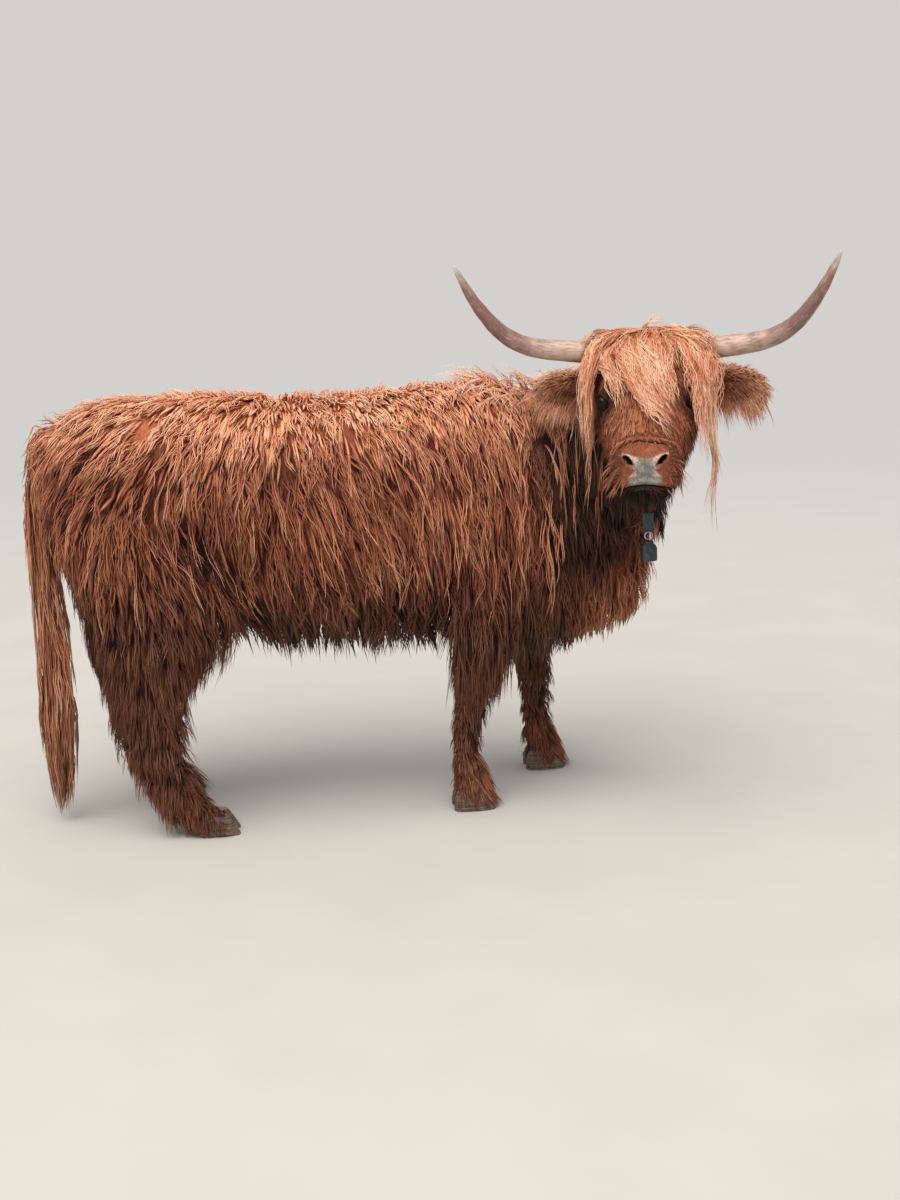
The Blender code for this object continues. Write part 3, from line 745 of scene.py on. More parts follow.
# %% [markdown]
# ## Claws
# Each foot stands on two claws. A claw is a half-cone of horn with a flat sole, a steep outer wall and
# a rounded toe. The wall grows down from the coronet, so faint rings run round it. The solids give each
# claw its place, and the finer one takes their box exactly.

# %% Loft the claws inside the solids' boxes
CLAW_ROWS = [  # height, heel, toe and half width, as shares of the box; roundness of the section
    (0.0, 0.02, 0.985, 0.94, 2.7), (0.03, 0.005, 1.0, 1.0, 2.7), (0.16, 0.0, 0.975, 0.99, 2.6),
    (0.34, 0.005, 0.925, 0.96, 2.5), (0.54, 0.02, 0.865, 0.91, 2.4), (0.74, 0.045, 0.805, 0.85, 2.3),
    (0.9, 0.075, 0.755, 0.78, 2.2), (1.0, 0.11, 0.715, 0.7, 2.1),
]


def loft_claw(node):
    low, high = (np.array(c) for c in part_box(node))
    size = high - low
    rings = []
    for k, (h, heel, toe, wide, n) in enumerate(spline_rows(CLAW_ROWS, 4)):
        ridge = 0.0004 * math.sin(k * 1.9)
        middle = low + size * [(heel + toe) / 2, 0.5, h]
        ring = oval(middle, X_AX, Y_AX, size[0] * (toe - heel) / 2 + ridge, size[1] * wide / 2 + ridge, n, 28)
        ring[:, 0] = np.clip(ring[:, 0], low[0], high[0])
        ring[:, 1] = np.clip(ring[:, 1], low[1], high[1])
        rings.append(ring)
    return loft("hoof" + node[4:], rings)


CLAW_NODES = [f"claw_{leg}_{side}_{part}"
              for leg in ("fore", "hind") for side in "LR" for part in ("outer", "inner")]
claws = [loft_claw(node) for node in CLAW_NODES]
print("claws", len(claws), "soles at", round(min(c.bound_box[0][2] for c in claws), 4))

# %% [markdown]
# ## What it wears
# A broad strap goes round the neck, low behind the jaw, mostly under the hair. Its end hangs below the
# throat with a steel ring, and from the ring hangs a heavy tapered weight that keeps the strap turned.
# Strap, end and weight are lofted as rounded sections on the solids' own places. Their weave, grain and
# wear are left to the finishes.

# %% Strap, its end, ring and weight
BAND_AT = np.array([0.715, -0.065, 0.93]) + STAND
BAND_ALONG = unit(np.array([0.66, -0.42, 0.62]))
BAND_SIDE = unit(np.cross(UP, BAND_ALONG))
BAND_UP = np.cross(BAND_ALONG, BAND_SIDE)
BAND_HALF = (0.136, 0.212)
BAND_WIDE, BAND_THICK = 0.033, 0.0042


def loft_band():
    count, ringed = 140, []
    for k in range(count):
        angle = 2 * math.pi * k / count
        out = unit(BAND_SIDE * math.cos(angle) / BAND_HALF[0] + BAND_UP * math.sin(angle) / BAND_HALF[1])
        middle = BAND_AT + BAND_SIDE * math.cos(angle) * BAND_HALF[0] + BAND_UP * math.sin(angle) * BAND_HALF[1]
        ringed.append(oval(middle, BAND_ALONG, out, BAND_WIDE / 2, BAND_THICK / 2, 4.5, 24))
    return closed_loop("neck_strap", ringed)


def box_loft(node, name, rows, n):
    """Rounded box in a node's box: rows are (height share, half width share, half depth share)."""
    low, high = (np.array(c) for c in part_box(node))
    middle, half = (low + high) / 2, (high - low) / 2
    return loft(name, [oval((middle[0], middle[1], high[2] - (high[2] - low[2]) * t), X_AX, Y_AX, half[0] * a,
                            half[1] * b, n, 32) for t, a, b in rows])


strap = loft_band()
strap_end = box_loft("collar_strap_end", "strap_end", [
    (0.0, 0.9, 0.7), (0.03, 0.97, 0.95), (0.1, 1.0, 1.0), (0.45, 0.98, 0.98), (0.55, 1.0, 1.0), (0.9, 1.0, 1.0),
    (0.97, 0.96, 0.94), (1.0, 0.88, 0.7)], 6.0)
weight = box_loft("collar_weight", "neck_weight", [
    (t, half, half) for t, half in (
        (0.0, 0.5), (0.02, 0.57), (0.08, 0.62), (0.11, 0.6), (0.14, 0.66), (0.22, 0.84), (0.3, 0.96), (0.38, 1.0),
        (0.86, 1.0), (0.94, 0.985), (0.985, 0.94), (1.0, 0.88))], 3.4)
deselect()
ring_at = box_middle("collar_ring")
bpy.ops.mesh.primitive_torus_add(major_radius=0.01, minor_radius=0.0017, major_segments=48, minor_segments=12,
                                 location=(0, 0, 0), rotation=(math.pi / 2, 0, 0))
ring = bpy.context.object
ring.name = "steel_ring"
bpy.ops.object.transform_apply(location=True, rotation=True, scale=True)
ring.data.transform(Matrix.Translation(ring_at))
bpy.ops.object.shade_smooth()

# %% [markdown]
# ## Planning the coat
# The solids reach out to the tips of the coat and the hide lies inside them, so the room between the
# two is the depth of the coat at each place. A ray out of the hide measures it. Around that one
# measurement the coat is laid: where a lock is rooted, how long it is, which way it is combed and how
# far gravity takes it.

# %% Search trees for the hide and for the solids
FLESH = ["trunk", "neck", "head", "forelock", "ear_L", "ear_R", "tail", "tail_switch"]
FLESH += [f"{leg}_{part}_{side}" for leg in ("fore", "hind") for part in ("upper", "lower") for side in "LR"]


def tree_of(things):
    """One search tree over the triangles of several objects."""
    verts, faces, start = [], [], 0
    for thing in things:
        thing.data.calc_loop_triangles()
        verts += [v.co.copy() for v in thing.data.vertices]
        faces += [tuple(start + k for k in t.vertices) for t in thing.data.loop_triangles]
        start = len(verts)
    return BVHTree.FromPolygons(verts, faces)


lie_tree = tree_of([hide] + claws)
solid_tree = tree_of([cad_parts[name] for name in FLESH])
hide.data.calc_loop_triangles()
corner_index = read_rows(hide.data.loop_triangles, "vertices", 3, np.int32)
hide_at, hide_out = hide_points(), hide_normals()
triangle = hide_at[corner_index]
area = np.linalg.norm(np.cross(triangle[:, 1] - triangle[:, 0], triangle[:, 2] - triangle[:, 0]), axis=1) / 2
print("hide area", round(float(area.sum()), 2), "m2")


def scatter(count, density):
    """Random roots on the hide and their normals. density is a function of place and normal."""
    weight = area * density(triangle.mean(1), hide_out[corner_index].mean(1))
    which = rng.choice(len(area), count, p=weight / weight.sum())
    r, s = np.sqrt(rng.random(count)), rng.random(count)
    mix = np.stack([1 - r, r * (1 - s), r * s], 1)[:, :, None]
    return (triangle[which] * mix).sum(1), unit((hide_out[corner_index[which]] * mix).sum(1))


def nearest(points):
    """Nearest place and normal on the hide or claws for each point."""
    found = [lie_tree.find_nearest(p) for p in points]
    return np.array([f[0] for f in found]), np.array([f[1] for f in found])


def coat_depth(points, normals, most=0.15):
    """Room between the hide and the solids' surface, straight out."""
    out = []
    for p, n in zip(points, normals):
        hit = solid_tree.ray_cast(p, n, most)
        out.append(hit[3] if hit[0] is not None else np.nan)
    out = np.array(out)
    out[np.isnan(out)] = np.nanmedian(out)
    return out


# %% [markdown]
# The lie of the coat is given by hints on the side of the body: at this place the hair points this way.
# Between the hints the directions blend. Over the back it parts along the spine, and on limbs and tail
# it runs down.

# %% The lie of the coat
LIE = np.array([  # x, z of a place on the side (stance), and the way its hair points in x and z
    (-0.7, 1.05, -0.85, -0.55), (-0.52, 1.11, -0.95, -0.25), (-0.72, 0.9, -0.25, -0.97), (-0.7, 0.7, -0.05, -1.0),
    (-0.56, 0.97, -0.78, -0.62), (-0.4, 1.02, -0.55, -0.83), (-0.55, 0.8, -0.2, -0.98),
    (-0.42, 0.82, 0.32, -0.94),
    (-0.33, 0.7, 0.52, -0.85), (-0.5, 0.6, 0.1, -1.0), (-0.26, 1.09, -0.55, -0.6), (-0.22, 0.95, -0.1, -1.0),
    (-0.04, 1.0, 0.1, -1.0), (0.0, 0.86, 0.52, -0.85), (0.06, 0.72, 0.22, -0.97), (-0.2, 0.76, -0.06, -1.0),
    (0.16, 0.95, 0.32, -0.95), (0.26, 0.8, 0.08, -1.0), (0.3, 1.02, 0.28, -0.96), (0.44, 0.92, 0.05, -1.0),
    (0.52, 1.04, 0.16, -0.98), (0.56, 0.74, 0.02, -1.0), (0.68, 0.95, -0.1, -1.0), (0.8, 0.8, 0.05, -1.0),
    (0.4, 0.6, 0.05, -1.0), (0.1, 0.55, 0.05, -1.0),
])


def body_lie(points, normals):
    q = points - STAND
    weight = np.exp(-((q[:, :1] - LIE[:, 0]) ** 2 + (q[:, 2:] - LIE[:, 1]) ** 2) / (2 * 0.085 ** 2)) + 1e-9
    way = weight @ LIE[:, 2:] / weight.sum(1, keepdims=True)
    limb = 1 - ease(0.48, 0.58, q[:, 2])
    way = way * (1 - limb[:, None]) + np.array([0.0, -1.0]) * limb[:, None]
    part = np.sign(q[:, 1] + 0.25 * np.clip(q[:, 0] - 0.5, 0, 1)) * 0.9 * np.clip(normals[:, 2], 0, 1)
    out = np.stack([way[:, 0], part, way[:, 1]], 1)
    tailed = (q[:, 0] < -0.7) & (np.abs(q[:, 1]) < 0.06) & (q[:, 2] < 1.02)
    out[tailed] = (-0.1, 0.0, -1.0)
    return out


print("hints on the lie of the coat", len(LIE))

# %% [markdown]
# ## Growing a lock
# A lock starts at its root and steps along: each step bends toward the lie of the coat at that place
# and toward the ground, then keeps to its own layer over the hide. The hairs of one lock share its
# path, spread at the root and draw together at the tip, with a little wave of their own. Each is a
# closed three-sided blade that ends in a point.

# %% Trace locks and build their blades


def trace(root, normal, lie, length, layer, gravity, hold, steps, stiff=0.45, rise=0.5, wild=0.0):
    """Paths of locks: places (steps + 1, n, 3) and the hide's normal at each."""
    toss = rng.normal(0, 1, root.shape) * wild
    way = unit(lie(root, normal) + toss)
    way = unit(way - normal * (way * normal).sum(1, keepdims=True) + normal * np.reshape(rise, (-1, 1)))
    place, path, outs = root.copy(), [root.copy()], [normal.copy()]
    for k in range(steps):
        t = (k + 1) / steps
        comb = lie(place, normal) + toss
        comb = unit(comb)
        comb = comb - normal * (comb * normal).sum(1, keepdims=True)
        comb = comb / np.maximum(np.linalg.norm(comb, axis=1, keepdims=True), 0.35)
        pull = np.clip(gravity * t, 0, 1)[:, None]
        way = unit(way * stiff + (comb * (1 - pull) - UP * pull) * (1 - stiff))
        place = place + way * (length / steps)[:, None]
        skin, normal = nearest(place)
        height = ((place - skin) * normal).sum(1)
        target = layer * min(1.0, (t * 1.25) ** 0.6)
        over = np.maximum(height - target, 0)
        new_height = np.where(height < target, target, target + over * (1 - hold))
        place = place + normal * (new_height - height)[:, None]
        way = unit(place - path[-1])
        path.append(place.copy())
        outs.append(normal.copy())
    return np.array(path), np.array(outs)


def rest_on_floor(height, near_floor=0.014, lowest=0.002):
    """Bends hair that would pass through the floor so that it comes to lie on it."""
    room = near_floor - lowest
    bent = lowest + room * np.exp((np.minimum(height, near_floor) - near_floor) / room)
    return np.where(height < near_floor, bent, height)


def blades(name, path, outs, spec, root_uv):
    """Hairs round traced locks, as one mesh. spec gives per-lock arrays and plain numbers."""
    steps, locks = len(path) - 1, path.shape[1]
    per, rings = spec["hairs"], spec["rings"]
    count = locks * per
    lock = np.repeat(np.arange(locks), per)
    reach = 0.62 + 0.38 * rng.random(count)
    reach[rng.random(count) < 0.12] *= 0.7
    spread = spec["spread"] * np.sqrt(rng.random(count))
    turn = rng.random(count) * 2 * math.pi
    shift_a, shift_b = spread * np.cos(turn), spread * np.sin(turn)
    level = rng.random(count)
    phase = rng.random(locks)[lock] * 6.3 + rng.normal(0, 0.5, count)
    wave_len = spec["wave_len"] * (0.7 + 0.6 * rng.random(count))
    wave = (spec["wave"] * (0.4 + 1.2 * rng.random(locks)))[lock] * (0.6 + 0.8 * rng.random(count))
    length = spec["length"][lock] * reach
    points, ups = np.empty((rings, count, 3)), np.empty((rings, count, 3))
    for r in range(rings):
        t = r / rings
        at = t * reach * steps
        low = np.minimum(at.astype(int), steps - 1)
        f = (at - low)[:, None]
        centre = path[low, lock] * (1 - f) + path[low + 1, lock] * f
        out = unit(outs[low, lock] * (1 - f) + outs[low + 1, lock] * f)
        ahead = unit(path[low + 1, lock] - path[low, lock])
        side = unit(np.cross(ahead, out))
        lift = np.cross(side, ahead)
        keep = 1 - spec["clump"] * t ** 0.8
        swing = wave * np.sin(phase + 2 * math.pi * t * length / wave_len) * min(1.0, t * 2.2)
        swing_up = 0.5 * wave * np.cos(phase * 1.7 + 2 * math.pi * t * length / wave_len) * min(1.0, t * 2.2)
        sunk = spec.get("sunk", -0.004) if r == 0 else 0.0
        points[r] = (centre + side * (shift_a * keep + swing)[:, None] + ahead * (shift_b * (1 - t))[:, None]
                     + lift * (sunk + (level - 0.5) * spec["loft"][lock] * min(1, t * 3) + swing_up)[:, None])
        ups[r] = lift
    t_end = reach * steps
    low = np.minimum(t_end.astype(int), steps - 1)
    f = (t_end - low)[:, None]
    tip = path[low, lock] * (1 - f) + path[low + 1, lock] * f
    last = points[-1] - points[-2]
    tip = points[-1] + unit(last + 0.5 * (tip - points[-1])) * np.linalg.norm(last, axis=1, keepdims=True)
    ahead = np.gradient(np.concatenate([points, tip[None]]), axis=0)[:rings]
    side = unit(np.cross(unit(ahead), ups))
    lift = np.cross(side, unit(ahead))
    width = spec["width"] * (0.7 + 0.6 * rng.random(count))
    verts = np.empty((count, rings * 3 + 1, 3), np.float32)
    for r in range(rings):
        t = r / rings
        taper = 0.62 + 0.9 * t * (1 - t) * 1.7 if t < 0.4 else 1.0 - 0.75 * max(0, t - 0.35) ** 1.2
        half = (width * taper / 2)[:, None]
        verts[:, r * 3] = points[r] - side[r] * half - lift[r] * half * 0.3
        verts[:, r * 3 + 1] = points[r] + lift[r] * half * 0.62
        verts[:, r * 3 + 2] = points[r] + side[r] * half - lift[r] * half * 0.3
    verts[:, -1] = tip
    verts[:, :, 2] = rest_on_floor(verts[:, :, 2])
    quads = np.array(skin_faces(rings, 3), np.int32)
    end = rings * 3
    tris = np.array([(end - 3 + k, end - 3 + (k + 1) % 3, end) for k in range(3)] + [(2, 1, 0)], np.int32)
    per_point = rings * 3 + 1
    return assemble(name, verts, quads, tris, dict(
        tip=np.tile(np.append(np.repeat(np.arange(rings) / rings, 3), 1.0), (count, 1)),
        # Hairs lifted higher in their lock get a higher tone: painted shade on the lower hairs.
        tone=np.repeat((0.62 * level + 0.38 * rng.random(count) + spec["tone"][lock])[:, None], per_point, 1),
        gold=np.repeat(spec["gold"][lock][:, None], per_point, 1),
        deep_and_shade=np.repeat(spec["deep_and_shade"][lock][:, None], per_point, 1),
        around=np.tile(np.append(np.tile([0.0, 1.0, 2.0], rings), 1.0), (count, 1)),
    ), root_uv[lock])


UV_PATCH = 0.003


def assemble(name, verts, quads, tris, values, root_uv):
    """A mesh object from equal little pieces: verts is (count, per piece, 3)."""
    count, per = verts.shape[:2]
    start = (np.arange(count, dtype=np.int32) * per)[:, None]
    loops = np.concatenate([(start + quads.ravel()), (start + tris.ravel())], 1)
    sizes = np.concatenate([np.full(len(quads), 4), np.full(len(tris), 3)])
    mesh = bpy.data.meshes.new(name)
    mesh.vertices.add(count * per)
    mesh.vertices.foreach_set("co", verts.reshape(-1))
    mesh.loops.add(loops.size)
    mesh.loops.foreach_set("vertex_index", loops.ravel().astype(np.int32))
    starts = np.concatenate([[0], np.cumsum(np.tile(sizes, count))[:-1]]).astype(np.int32)
    mesh.polygons.add(len(starts))
    mesh.polygons.foreach_set("loop_start", starts)
    mesh.update(calc_edges=True)
    mesh.polygons.foreach_set("use_smooth", np.ones(len(starts), bool))
    for key, value in values.items():
        lay_mark(mesh, key, value)
    local = np.stack([values["around"] / 2 * UV_PATCH, values["tip"] * UV_PATCH], -1) - UV_PATCH / 2
    uv = (root_uv[:, None, :] + local).reshape(-1, 2)
    layer = mesh.uv_layers.new(name="OFBake")
    layer.uv.foreach_set("vector", uv[loops.ravel()].astype(np.float32).ravel())
    return place_in_scene(name, mesh)


print("ready to grow")

# %% [markdown]
# Every lock also needs a place on a flat map of the hide, so that a painted copy of the model can hold
# one colour patch for each. A lighter copy of the hide is unwrapped, and each root looks up the map at
# its nearest face.

# %% Unwrap a light copy of the hide
chart = hide.copy()
chart.data = hide.data.copy()
chart.name = "chart"
bpy.context.scene.collection.objects.link(chart)
settle(chart, "DECIMATE", ratio=0.08)
activate(chart)
chart.data.uv_layers.new(name="map")
bpy.ops.object.mode_set(mode="EDIT")
bpy.ops.mesh.select_all(action="SELECT")
bpy.ops.uv.smart_project(angle_limit=math.radians(60), island_margin=0.004)
bpy.ops.object.mode_set(mode="OBJECT")
chart.data.calc_loop_triangles()
chart_corners = np.array([t.vertices[:] for t in chart.data.loop_triangles])
chart_loops = np.array([t.loops[:] for t in chart.data.loop_triangles])
chart_uv = read_rows(chart.data.uv_layers["map"].uv, "vector", 2, np.float32)
chart_at = np.array([v.co[:] for v in chart.data.vertices])
chart_tree = BVHTree.FromPolygons(chart_at.tolist(), chart_corners.tolist())
bpy.data.objects.remove(chart)


def map_place(points):
    """Where each root lies on the flat map."""
    found = [chart_tree.find_nearest(p) for p in points]
    face = np.array([f[2] for f in found])
    at = np.array([f[0] for f in found])
    a, b, c = (chart_at[chart_corners[face, k]] for k in range(3))
    n = np.cross(b - a, c - a)
    total = (n * n).sum(1)
    wa = (np.cross(b - at, c - at) * n).sum(1) / total
    wb = (np.cross(c - at, a - at) * n).sum(1) / total
    wts = np.clip(np.stack([wa, wb, 1 - wa - wb], 1), 0, 1)[:, :, None]
    return (chart_uv[chart_loops[face]] * wts).sum(1)


print("map faces", len(chart_corners))

# %% [markdown]
# ## The body's coat
# The coat is deep and wavy on the flanks, short and tumbled along the back, and hangs as a fringe under
# the belly. Its colour is paler along the top of the body, partly bleached by sun and rain and partly painted
# top light where the hide faces up, and goes to a deep brown below, partly painted shade under the body.
# The hollows before the thigh and behind the elbow, the underside and the near side of the throat under
# the turned head are darkened as painted shade. One function answers all of this for any place, so hide
# and coat cannot disagree.

# %% What the coat is like at each place


def head_part(points):
    """True on the head and ears, false behind the poll and throat."""
    u, v, w = to_head(points).T
    return (u > -0.03) & (np.abs(v) < 0.34) & (w > -0.215) & (w < 0.08) & (u < 0.55)


def coat_at(points, normals):
    """Length, gold, deep and tone of the coat at each place. Gold is partly painted top light, deep partly
    painted shade and dark wholly painted shade.
    """
    q = points - STAND
    x, y, z = q.T
    n_up = normals[:, 2]
    flank = np.interp(z, [0.53, 0.62, 0.75, 0.9, 1.02, 1.09, 1.13], [0.2, 0.19, 0.17, 0.15, 0.12, 0.1, 0.09])
    rump = np.interp(z, [0.6, 0.8, 1.0, 1.12], [0.12, 0.125, 0.125, 0.095])
    length = flank + (rump - flank) * ease(-0.3, -0.42, x)
    under = ease(-0.45, -0.8, n_up) * ease(0.62, 0.56, z)
    length = length + (0.135 - length) * under
    neck = ease(0.46, 0.66, x)
    length = length + (0.125 - length) * neck * ease(0.55, 0.7, z)
    fore = (x > 0.26) & (x < 0.72) & (z < 0.5) & ~((np.abs(y) < 0.09) & (z > 0.45))
    hind = (x < -0.26) & (z < 0.57)
    steps = [0.02, 0.08, 0.16, 0.26, 0.36, 0.46, 0.56]
    fore_length = np.interp(z, steps, [0.04, 0.054, 0.058, 0.058, 0.068, 0.11, 0.15])
    fore_length = fore_length + 0.07 * (y < 0) * ease(0.36, 0.44, z)
    hind_length = np.interp(z, steps, [0.05, 0.072, 0.082, 0.086, 0.092, 0.105, 0.125])
    length = np.where(fore, fore_length, np.where(hind, hind_length, length))
    tail = (x < -0.695) & (np.abs(y) < 0.055) & (z < 1.03)
    length = np.where(tail, np.interp(z, [0.24, 0.34, 0.56, 0.8, 1.0], [0.17, 0.24, 0.24, 0.15, 0.11]), length)
    # Paler on top: partly sun bleach, partly painted top light, since it follows how far the hide faces up.
    light = np.maximum(ease(0.96, 1.08, z) * ease(-0.1, 0.55, n_up), 0.35 * ease(1.0, 1.1, z))
    gold = 0.05 + 0.95 * light * (1 - 0.45 * neck) * (1 - 0.25 * ease(-0.4, -0.6, x))
    gold = np.where(tail, np.interp(z, [0.45, 0.8], [0.85, 0.35]), gold)
    brisket = ease(0.6, 0.72, x) * ease(0.74, 0.66, z)
    gold = np.maximum(gold, 0.3 * brisket)
    # Darker low on the body: partly a darker coat, partly painted shade under the body.
    deep_and_shade = 0.95 * ease(0.86, 0.55, z) * (1 - tail) * (1 - 0.8 * brisket)
    # Painted shade in two hollows before the thigh and one behind the elbow.
    hollow = np.maximum(near(np.hypot((x + 0.32) * 0.8, z - 0.775), 0.068),
                        near(np.hypot(x + 0.205, z - 0.635), 0.052))
    elbow = near(np.hypot(x - 0.25, z - 0.585), 0.075)
    # Painted shadow of the turned head on the throat, strongest on the near side.
    low_neck = ease(1.12, 1.02, z) * ease(0.6, 0.7, z)
    near_side = (0.2 + 0.8 * ease(0.06, -0.16, y)) * ease(0.92, 0.76, x)
    throat = ease(0.47, 0.6, x) * low_neck * near_side
    length = length * (1 - 0.45 * ease(0.52, 0.64, x) * ease(0.68, 0.58, z) * ~fore)
    deep_and_shade = np.clip(np.maximum.reduce([deep_and_shade, hollow, elbow, throat * 0.95]), 0, 1)
    deep_and_shade = np.where(fore | hind, 0.8, deep_and_shade)
    # dark is wholly painted shade: the hollows, the elbow, the shaded throat and the underside. It lowers the
    # tone.
    dark = np.maximum.reduce([hollow, elbow * 0.9, 0.7 * ease(0.51, 0.63, x) * low_neck * near_side ** 2,
                              0.5 * under])
    return dict(length=length, gold=gold, deep_and_shade=deep_and_shade, fore=fore, hind=hind, tail=tail, under=under,
                hollow=hollow, dark=dark)


def body_density(points, normals):
    zone = coat_at(points, normals)
    dense = 1.0 + 0.7 * ease(1.0, 1.1, points[:, 2])
    dense = np.where(zone["fore"] | zone["hind"], 2.1, dense)
    dense *= 1 - 0.45 * zone["under"]
    dense = np.where((points[:, 2] < 0.06) & (zone["fore"] | zone["hind"]), 3.0, dense)
    a, r = band_place(points)
    under_strap = (np.abs(a) < 0.02) & (r < 1.4) & (r > 0.5)
    return dense * ~zone["tail"] * (1 - 0.6 * zone["hollow"]) * ~head_part(points) * ~under_strap


def band_place(points):
    """How far along the neck from the strap a place is, and its distance out as a share of the strap's own."""
    rel = points - BAND_AT
    return rel @ BAND_ALONG, np.hypot(rel @ BAND_SIDE / BAND_HALF[0], rel @ BAND_UP / BAND_HALF[1])


def over_the_strap(path):
    """Lifts hair that would pass under the neck strap so that it lies over it."""
    flat = path.reshape(-1, 3)
    a, r = band_place(flat)
    want = 1.05 + 0.05 * rng.random(len(flat))
    near_it = near(a, 0.055) * (r > 0.55) * (r < want)
    out = flat - BAND_AT - (flat - BAND_AT) @ BAND_ALONG[:, None] * BAND_ALONG
    return (flat + out * ((want / np.maximum(r, 0.3) - 1) * near_it)[:, None]).reshape(path.shape)


MOST_TRIANGLES = 190000


def lay_coat(prefix, locks, hairs, rings, width, spread, layers, wave, wild, steps=6, tone=0.0):
    """Scatters locks over the body, traces them and returns the pieces, split by region."""
    root, normal = scatter(locks, body_density)
    zone = coat_at(root, normal)
    limb = zone["fore"] | zone["hind"]
    depth = np.clip(coat_depth(root, normal), 0.012, 0.07)
    depth = np.where(limb, np.clip(depth, 0.01, 0.055), depth)
    flat_top = ease(0.3, 0.9, normal[:, 2])
    share = layers[0] + (layers[1] - layers[0]) * rng.random(locks)
    layer = depth * share * (1 - 0.25 * flat_top) * np.where(limb, np.where(zone["hind"], 0.92, 0.7), 1.0)
    length = zone["length"] * (0.8 + 0.4 * rng.random(locks))
    length = np.where(limb, np.minimum(length, root[:, 2] * 1.1 + 0.008), length)
    low = ease(0.68, 0.6, root[:, 2]) * ~limb
    gravity = 0.2 + 0.8 * zone["under"] + 0.55 * low + 0.3 * limb * ease(0.14, 0.08, root[:, 2])
    hold = np.where(limb, 0.7, 0.6 * (1 - low))
    rise = np.where(limb, 0.16, 0.34 - 0.24 * flat_top)
    path, outs = trace(root, normal, body_lie, length, layer, gravity, hold, steps, rise=rise, wild=wild)
    path = over_the_strap(path)
    path[:, :, 2] = np.maximum(path[:, :, 2], 0.006)
    uv = map_place(root)
    q = root - STAND
    side = np.where(q[:, 1] < 0, "R", "L")
    region = np.where(q[:, 0] < -0.33, "rump_", np.where(q[:, 0] > 0.42, "neck_", "flank_"))
    label = region.astype(object) + side
    label[zone["fore"]] = "forelegs"
    label[zone["hind"]] = "hindlegs"
    pieces = []
    for name in sorted(set(label)):
        pick = np.flatnonzero(label == name)
        short = name in ("forelegs", "hindlegs")
        ring = max(3, rings - 2) if short else rings
        tri = 6 * (ring - 1) + 4
        most = MOST_TRIANGLES // (tri * hairs)
        for part, start in enumerate(range(0, len(pick), most)):
            take = pick[start:start + most]
            gold = zone["gold"][take]
            # shade lowers the tone by the painted shade in dark, and raises it with gold, partly bleach and
            # partly painted top light.
            shade = tone - 0.65 * zone["dark"][take] + (0.42 * gold ** 2 - 0.05) * ~limb[take]
            spec = dict(hairs=hairs, rings=ring, width=width * (0.66 if short else 1),
                        spread=spread * (0.8 if short else 1), clump=0.22 if short else 0.38,
                        wave=wave * (0.5 if short else 1), wave_len=0.095, length=length[take],
                        loft=layer[take] * 0.5, tone=shade, gold=gold, deep_and_shade=zone["deep_and_shade"][take])
            pieces.append(blades(f"{prefix}_{name}_{part}", path[:, take], outs[:, take], spec, uv[take]))
    return pieces


coat = lay_coat("undercoat", locks=3700, hairs=3, rings=3, width=0.0105, spread=0.019, layers=(0.12, 0.6),
                wave=0.002, wild=0.08, steps=4, tone=-0.03)
coat += lay_coat("coat", locks=3900, hairs=8, rings=5, width=0.0034, spread=0.018, layers=(0.45, 0.98),
                 wave=0.006, wild=0.095)
print("body pieces", len(coat), "blades' faces", sum(len(p.data.polygons) for p in coat))

# %% [markdown]
# The tail's hair hangs free, so it is laid to an outline instead of a skin: each lock leaves its root
# and drops inside a column that swells at the switch and narrows to the end. Hair over the feet falls
# from the coronet and is pushed out over the claws.

# %% Tail and feet


def lock_spec(length, layer, gold=0.0, deep_and_shade=0.0, tone=0.0, sunk=-0.002, **plain):
    """What blades asks for: numbers for each lock, and plain ones for all."""
    full = np.ones(len(length))
    return dict(plain, length=length, loft=full * layer * 0.5, tone=full * tone, gold=full * gold,
                deep_and_shade=full * deep_and_shade, sunk=sunk)


def sweep(root, normal, way, length, sag, steps=4):
    """Paths that set out along way and sag toward the ground, for hair that stands free of the hide."""
    t = (np.arange(steps + 1) / steps)[:, None, None]
    length = np.reshape(length, (-1, 1))
    path = root + unit(way) * length * t - UP * np.reshape(sag, (-1, 1)) * length * t ** 2
    return path, np.broadcast_to(normal, path.shape).copy()


def clear_of_hide(path, want):
    """Pushes path points out until they stand at least want from the hide and claws."""
    flat = path.reshape(-1, 3)
    skin, out = nearest(flat)
    height = ((flat - skin) * out).sum(1)
    return (flat + out * np.maximum(np.ravel(want) - height, 0)[:, None]).reshape(path.shape)


TAIL_Z = [0.014, 0.06, 0.12, 0.2, 0.3, 0.42, 0.56, 0.72, 0.98]
TAIL_HALF = [0.012, 0.026, 0.038, 0.047, 0.054, 0.053, 0.046, 0.041, 0.046]
TAIL_X = [-0.75, -0.746, -0.743, -0.742, -0.738, -0.735, -0.738, -0.744, -0.736]
TAIL_LOCKS, TAIL_STEPS = 330, 8
root, normal = scatter(TAIL_LOCKS, lambda p, n: coat_at(p, n)["tail"] * (1.0 + 1.2 * (p[:, 2] < 0.5)))
tail_length = np.clip((0.24 + 0.12 * rng.random(TAIL_LOCKS)), 0, root[:, 2] - 0.018)
turn = np.arctan2(normal[:, 1], normal[:, 0]) + 0.25 * rng.normal(0, 1, TAIL_LOCKS)
share = 0.25 + 0.75 * rng.random(TAIL_LOCKS)
path = np.empty((TAIL_STEPS + 1, TAIL_LOCKS, 3))
